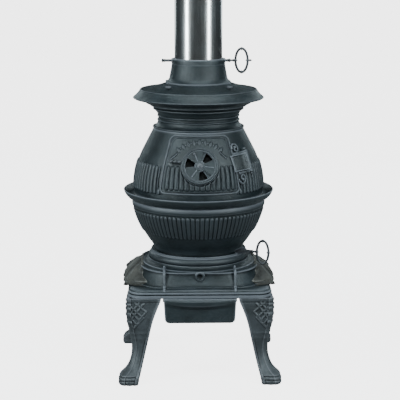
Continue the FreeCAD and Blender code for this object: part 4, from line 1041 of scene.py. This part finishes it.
def basePiece():
    shape = newShape()
    low = baseBox[0].z
    rings = [(half, corner, low + rise) for half, corner, rise in flangeRings] + [*stepRings]
    rings += [(shoulderHalf(level), shoulderCorner(level), level) for level in spread(251.4, 281.5, 8)]
    sheet(shape, [squareRing(*ring) for ring in rings + [*deckRings]], closeAcross=True, closeAlong=True)
    bore = [(base["bore"], 279.5), *boreRun] + arcRun((129.6, 296.6), (129.6, 312.4), base["torus"], -1, 12)
    bore += [(129.6, 312.4), (128, 313.6), (126, 314), (base["seat"], 314), (base["seat"], base["seatLevel"]),
             (base["bore"], base["seatLevel"])]
    lathe(shape, bore, 240)
    for turn in (0, 2):
        spin = Matrix.Rotation(math.pi / 2 * turn, 3, "Z")
        for side in (-1, 1):
            x = side * base["ribPlace"]
            run = [(184.0, 243.5), (179, 247.2), (170, 248.8), (166.4, 253)]
            run += [(shoulderHalf(z) + 0.8, z) for z in spread(257, 284, 8)]
            run += [(150, 287.5), (140, 288.4), (128, 290), (121, 296)]
            points = [spin @ Vector((x, -y, z)) for y, z in run]
            tube(shape, points, [2.4] + [base["ribWide"]] * (len(points) - 2) + [2.6], 14)
            bead(shape, spin @ Vector((x, -168.0, 251.5)), 4.4, 18)
            bead(shape, spin @ Vector((x, -152, 285.5)), 4.2, 18)
    bossTurn = Matrix.Translation(Vector((0, 0, base["bossLevel"]))) @ Matrix.Rotation(math.pi / 2, 4, "X")
    wide, hole, face = base["boss"], base["bossHole"], base["bossFront"]
    boss = rounded([(hole, 140), (wide, 140), (wide, face - 3), (wide - 1.5, face - 1),
                    (hole + 1.2, face - 1), (hole, face - 2.4)], 0.8)
    lathe(shape, boss, 72, bossTurn)
    hood = [bossTurn @ Vector((11.2 * math.cos(t), 11.2 * math.sin(t), face - 2.4))
            for t in spread(0.25, math.pi - 0.25, 18)]
    tube(shape, hood, [1.2, 2.2, 2.8, 3.2] + [3.6] * 11 + [3.2, 2.8, 2.2, 1.2], 12)
    for k in range(-9, 10):
        # fine bead row in the cove over the panel
        if abs(k) > 1:
            x = k * base["covePitch"]
            spot = Vector((x, -math.sqrt(base["coveRadius"] ** 2 - x ** 2), base["coveLevel"]))
            bead(shape, spot, base["coveBead"], 10)
    meshObject("baseCasting", shape, "black_iron", "stove", replaced=["base_casting"])


basePiece()
print("base is in")


leaf = {"run": ((149.5, 288.4), (158, 284), (168, 277), (178, 268), (186, 259), (192, 251), (196, 244),
                (196.6, 238)), "cornerHead": 107, "cornerFoot": 92, "spanHead": 24, "spanFoot": 47,
        "lobes": 13, "ridge": 4.6, "rows": 56, "columns": 180}


def squareReach(azimuth, half, corner):
    # distance from the axis to a rounded square, looking along an azimuth
    a = math.radians(azimuth)
    s, c = abs(math.sin(a)), abs(math.cos(a))
    middle = half - corner
    flat = half / max(s, c)
    if flat * min(s, c) <= middle:
        return flat
    return middle * (s + c) + math.sqrt(max((middle * (s + c)) ** 2 - 2 * middle ** 2 + corner ** 2, 0))


def leafPieces():
    run = [Vector(point) for point in leaf["run"]]
    rows, columns = leaf["rows"], leaf["columns"]

    def along(t):
        k = min(int(t * (len(run) - 1)), len(run) - 2)
        f = t * (len(run) - 1) - k
        return run[k].lerp(run[k + 1], f)

    def relief(t, y):
        # leaflets fan out from the stem at the middle of the crest
        angle = math.atan2(y, 24 + 60 * t)
        fan = math.cos(angle * leaf["lobes"])
        lobe = leaf["ridge"] * (0.3 + 0.7 * smooth(t * 2)) * (abs(fan) ** 0.7 if fan > 0 else 0)
        vein = 0.8 * math.cos(angle * leaf["lobes"] * 3) * smooth(t * 3)
        stem = 3.5 * math.exp(-(y / 5) ** 2) * (1 - 0.6 * t)
        return lobe + vein + stem

    def backing(azimuth, level):
        # the shoulder that the leaf lies on, or the flange's side where it hangs past
        if level > 249:
            return squareReach(azimuth, shoulderHalf(level) + 0.5, shoulderCorner(level))
        return squareReach(azimuth, base["half"] + 0.5, base["round"])

    def place(c, r):
        t, u = r / rows, 2 * c / columns - 1
        point = along(t)
        wave = 0.95 + 0.05 * math.cos(t * math.pi * 7)
        span = (leaf["spanHead"] + (leaf["spanFoot"] - leaf["spanHead"]) * smooth(t * 1.3)) * wave
        azimuth = 90 + span * u
        level = max(point.y, 249.4) if abs(u) > 0.62 else point.y + 2.2 * abs(math.cos(u * math.pi * 4)) * t
        corner = leaf["cornerHead"] + (leaf["cornerFoot"] - leaf["cornerHead"]) * t
        return t, u, azimuth, level, squareReach(azimuth, point.x, corner)

    for side, node, name in ((1, "side_leaf_right", "sideLeafRight"), (-1, "side_leaf_left", "sideLeafLeft")):
        def outer(c, r):
            t, u, azimuth, level, reach = place(c, r)
            low = backing(azimuth, level)
            bulge = 1 - abs(u) ** 4
            reach = low + 1.5 + max(reach - low - 1.5, 0) * bulge
            high = relief(t, reach * math.sin(math.radians(azimuth - 90))) * smooth((1 - abs(u)) * 9)
            rise = math.radians(50 * (1 - smooth(t * 1.1)))
            p = around(azimuth, reach + high * math.cos(rise), level + high * math.sin(rise))
            return Vector((side * p.x, p.y, p.z))

        def inner(c, r):
            t, u, azimuth, level, reach = place(c, r)
            p = around(azimuth, min(backing(azimuth, level), reach - 1), level - 0.4)
            return Vector((side * p.x, p.y, p.z))

        shape = newShape()
        shell(shape, columns, rows, outer, inner, lambda c, r: True)
        meshObject(name, shape, "leaf_iron", "stove", replaced=[node], sharp=60)


leafPieces()
print("side leaves are in")


# the leg's outline down its outer corner and its inner side, as (level, place)
leg = {"outer": ((226, 191), (222, 191), (205, 191.0), (185, 190.6), (168, 189), (150, 186.0), (128, 181.6),
                 (108, 178.2), (88, 177), (70, 178.6), (52, 184.4), (42, 190), (34, 197), (26, 206.5),
                 (20, 210.6), (16, 211.2), (10, 212), (4, 211.4), (0, 209.6)),
       "inner": ((226, 100), (216, 102.4), (196, 110.6), (170, 120), (146, 126.4), (108, 134.6), (71, 143),
                 (40, 150.6), (24, 155), (14, 158), (8, 158.6), (0, 160.4)),
       "toe": 212, "face": 44, "corner": 13, "wall": 9, "crown": 3.0}


def fromRun(run, z):
    # smooth curve through the listed places, highest level first
    for i in range(len(run) - 1):
        (z0, v0), (z1, v1) = run[i], run[i + 1]
        if z0 >= z >= z1:
            before, after = run[max(i - 1, 0)], run[min(i + 2, len(run) - 1)]
            t = (z0 - z) / (z0 - z1)
            s0 = (v1 - before[1]) / max(before[0] - z1, 1) * (z0 - z1)
            s1 = (after[1] - v0) / max(z0 - after[0], 1) * (z0 - z1)
            return (v0 * (2 * t ** 3 - 3 * t * t + 1) + s0 * (t ** 3 - 2 * t * t + t)
                    + v1 * (3 * t * t - 2 * t ** 3) + s1 * (t ** 3 - t * t))
    return run[-1][1]


kneeBars = [((4, 214), (44, 176)), ((4, 203), (34, 168)), ((4, 188), (24, 158)), ((46, 214), (12, 172)),
            ((34, 216), (6, 182)), ((14, 172), (4, 160)), ((44, 176), (14, 148)), ((24, 216), (52, 192)),
            ((52, 192), (30, 168))]


def kneeLift(s, z):
    # crossing straps on the knee; s is measured in from the outer corner
    if z < 140 or s > 62:
        return 0
    return max(barLift(s, z, a, b, 2.7, 1.8) for a, b in kneeBars)


def bandLift(z):
    # turned bands under the knee, at the head, over the foot and round the pad
    knee = 1.3 * math.exp(-((z - 133) / 2.4) ** 2) + 1.0 * math.exp(-((z - 118) / 2.0) ** 2)
    head = 1.6 * smooth((z - 218.5) / 1.2) - 1.2 * math.exp(-((z - 216) / 1.4) ** 2)
    foot = 1.6 * math.exp(-((z - 34) / 4.5) ** 2) - 2.6 * math.exp(-((z - 21) / 2.0) ** 2)
    pad = -2.0 * math.exp(-((z - 11.5) / 1.5) ** 2)
    return knee + head + foot + pad


def legSection(z):
    # ring of points round the leg: outer faces finely, inner faces coarsely
    out, into = fromRun(leg["outer"], z), fromRun(leg["inner"], z)
    cut = min((out - into) * 0.34, leg["corner"] if z > 60 else leg["corner"] + (60 - z) * 0.12)
    face = leg["face"]
    toe = smooth((30 - z) / 20)
    points = []

    def add(x, y, nx, ny, s):
        lift = kneeLift(s, z) + bandLift(z) * (1 if z < 216 else 0.5)
        lift += toe * 1.6 * (abs(math.cos((s + 4) * math.pi / 15)) ** 0.6 - 0.8)
        points.append(Vector((min(x + nx * lift, leg["toe"]), -min(y + ny * lift, leg["toe"]), z)))

    def faceSpot(t):
        # a place on either outer face: how far along it, and how far out it stands
        crown = leg["crown"] * math.sin(math.pi * t) * smooth((200 - z) / 60)
        return into + cut * 0.6 + (out - cut - into - cut * 0.6) * t, out - 1.5 + crown - 1.5 * (1 - t)

    for k in range(face):
        along, away = faceSpot(k / face)
        add(along, away, 0, 1, out - along)
    for k in range(14):
        t = math.pi / 2 * k / 14
        x, y = out - cut + cut * math.sin(t), out - cut + cut * math.cos(t)
        add(x - 1.5 * (1 - t / 1.6), y - 1.5 * t / 1.6, math.sin(t), math.cos(t), cut * 0.5)
    for k in range(face):
        along, away = faceSpot(1 - k / face)
        add(away, along, 1, 0, out - along)
    # the back is hollow above the calf, solid below
    hollow = smooth((z - 96) / 30)
    inside = out - leg["wall"]
    tip = into + (inside - into) * hollow
    corner = inside * hollow + (out - cut) * (1 - hollow)
    soft = cut * 0.6 * (1 - hollow) + 1.5 * hollow
    back = []
    for k in range(6):
        t = math.pi / 2 * k / 5
        x = out - soft * (1 - math.cos(t)) - leg["wall"] * hollow * k / 5
        back.append((x, into + soft * (1 - math.sin(t))))
    points += [Vector((x, -y, z)) for x, y in back[:5]]
    points += [Vector((corner, -into, z)), Vector((tip, -tip, z)), Vector((into, -corner, z))]
    points += [Vector((y, -x, z)) for x, y in reversed(back[1:])]
    return points


def legPieces():
    levels = spread(226, 140, 64)[:-1] + spread(140, 40, 34)[:-1] + spread(40, 0, 34)
    rings = [legSection(z) for z in levels]
    head, foot = ([sum(ring, Vector()) / len(ring)] * len(ring) for ring in (rings[0], rings[-1]))
    rings = [head, *rings, foot]
    corners = (("leg_front_right", "legFrontRight"), ("leg_rear_right", "legRearRight"),
               ("leg_rear_left", "legRearLeft"), ("leg_front_left", "legFrontLeft"))
    for quarter, (node, name) in enumerate(corners):
        turn = Matrix.Rotation(math.pi / 2 * quarter, 3, "Z")
        shape = newShape()
        sheet(shape, [[turn @ p for p in ring] for ring in rings], closeAcross=True)
        meshObject(name, shape, "grey_iron", "stove", replaced=[node], sharp=50)


legPieces()
print("legs are in")


# the stem is (part of its length, radius), the finial (distance past the ring, radius)
ringHandle = {"halfWidth": 16, "halfHeight": 31, "wire": 3.3, "bead": 4.0, "shakerLevel": 318.3,
              "shakerTurn": -20,
              "stem": ((0, 3.8), (0.04, 4.2), (0.14, 4.0), (0.22, 5.0), (0.30, 5.0), (0.36, 3.6), (0.5, 2.6),
                       (0.62, 2.5), (0.72, 3.8), (0.80, 3.8), (0.90, 2.5), (1, 2.5)),
              "finial": ((0, 1.8), (3, 1.6), (5, 2.8), (6.5, 3.3), (8, 2.8), (10, 1.6), (11.6, 0.6))}
knobWidths = [0.5, 3.4, 4.8, 5.2, 4.8, 3.2, 3.9, 4.6, 3.6]


def ringPiece(name, node, body, place, root, centre, finial):
    shape = newShape()
    wide, tall = ringHandle["halfWidth"], ringHandle["halfHeight"]
    run = [place @ Vector((centre + wide * math.cos(t), 0, tall * math.sin(t)))
           for t in (2 * math.pi * i / 72 for i in range(72))]
    tube(shape, run, ringHandle["wire"], 12, closed=True)
    span = centre - wide - root
    stem = [place @ Vector((root + span * part, 0, 0)) for part, radius in ringHandle["stem"]]
    tube(shape, stem, [radius for part, radius in ringHandle["stem"]], 16)
    small = ringHandle["bead"]
    for sign in (1, -1):
        # inward points with a bead: on the stem's line and at the top and bottom of the oval
        tip = [place @ Vector((centre + sign * (wide - d), 0, 0)) for d in (0, 3, 6)]
        tube(shape, tip, [1.8, 1.5, 0.6], 10)
        bead(shape, place @ Vector((centre + sign * wide, 0, 0)), small * 1.15, 14)
        tip = [place @ Vector((centre, 0, sign * (tall - d))) for d in (0, 3, 5.5)]
        tube(shape, tip, [1.8, 1.4, 0.6], 10)
        bead(shape, place @ Vector((centre, 0, sign * tall)), small, 14)
    if finial:
        tail = [place @ Vector((centre + wide + past, 0, 0)) for past, radius in ringHandle["finial"]]
        tube(shape, tail, [radius for past, radius in ringHandle["finial"]], 14)
    meshObject(name, shape, "handle_steel", body, replaced=[node])


def handlePieces():
    damperLevel = joints["damper_turn"]["pos_m"][2] / mm
    damperLow, damperHigh = nodeBox("damper_handle")
    centre = damperHigh.x - 12 - ringHandle["halfWidth"]
    ringPiece("damperRing", "damper_handle", "damper", Matrix.Translation(Vector((0, 0, damperLevel))),
              damperLow.x, centre, True)
    turn = Matrix.Rotation(math.radians(ringHandle["shakerTurn"]), 4, "Z")
    place = Matrix.Translation(Vector((0, 0, ringHandle["shakerLevel"]))) @ turn
    ringPiece("shakerRing", "shaker_handle", "grate", place, 147, 180, False)
    knob = newShape()
    knobLow, knobHigh = nodeBox("damper_knob")
    run = [Vector((x, 0, damperLevel)) for x in spread(knobLow.x + 0.2, knobHigh.x, 8)]
    tube(knob, run, knobWidths, 20)
    meshObject("damperKnob", knob, "handle_steel", "damper", replaced=["damper_knob"])


handlePieces()
print("handles are in")


panFront = {"half": 94, "footHalf": 91, "top": 224.7, "foot": 160.2, "round": 12, "back": 183, "face": 187,
            "lipFoot": 201, "lipRise": 9, "lipDeep": 8.6, "columns": 90, "rows": 44}


def panPiece():
    columns, rows = panFront["columns"], panFront["rows"]
    levels = spread(panFront["foot"], panFront["top"], rows)

    def half(z):
        ease, foot = panFront["round"], panFront["footHalf"]
        low = panFront["foot"] + ease
        if z < low:
            return foot - ease + math.sqrt(max(ease ** 2 - (low - z) ** 2, 0))
        return foot + (panFront["half"] - foot) * (z - 172) / 52

    def outer(c, r):
        z = levels[r]
        u = 2 * c / columns - 1
        edge = min(half(z) * (1 - abs(u)), z - panFront["foot"], panFront["top"] - z)
        # the smile: the lip's lower edge drops in the middle
        drop = panFront["lipFoot"] + panFront["lipRise"] * u * u
        lip = smooth((z - drop + 5) / 12) * panFront["lipDeep"] * (1 - u * u) ** 0.8
        lip *= 1 - 0.35 * smooth((z - 218) / 6)
        return Vector((half(z) * u, -(panFront["face"] + lip - 1.6 * (1 - smooth(edge / 2.4))), z))

    def inner(c, r):
        z = levels[r]
        return Vector((half(z) * (2 * c / columns - 1), -panFront["back"], z))

    shape = newShape()
    shell(shape, columns, rows, outer, inner, lambda c, r: True)
    meshObject("ashPanFront", shape, "black_iron", "pan", replaced=["ash_pan_front"])


panPiece()
print("ash pan front is in")


# finishes for the pieces that keep their own shape
keptFinishes = {"flue_pipe": "stainless", "dome_seal": "seal_rope", "damper_spindle": "handle_steel",
                "shaker_lever": "handle_steel", "grate_ring": "soot_iron", "shaker_grate": "soot_iron",
                "damper_plate": "soot_iron", "door_baffle": "soot_iron"}
slotNames = {part["node"]: part["material_slot"] for part in frame["record"]["subparts"]}
for node, piece in frame["nodes"].items():
    piece.data.materials.clear()
    piece.data.materials.append(finishes[keptFinishes.get(node, slotNames[node])])
print("finishes are on")
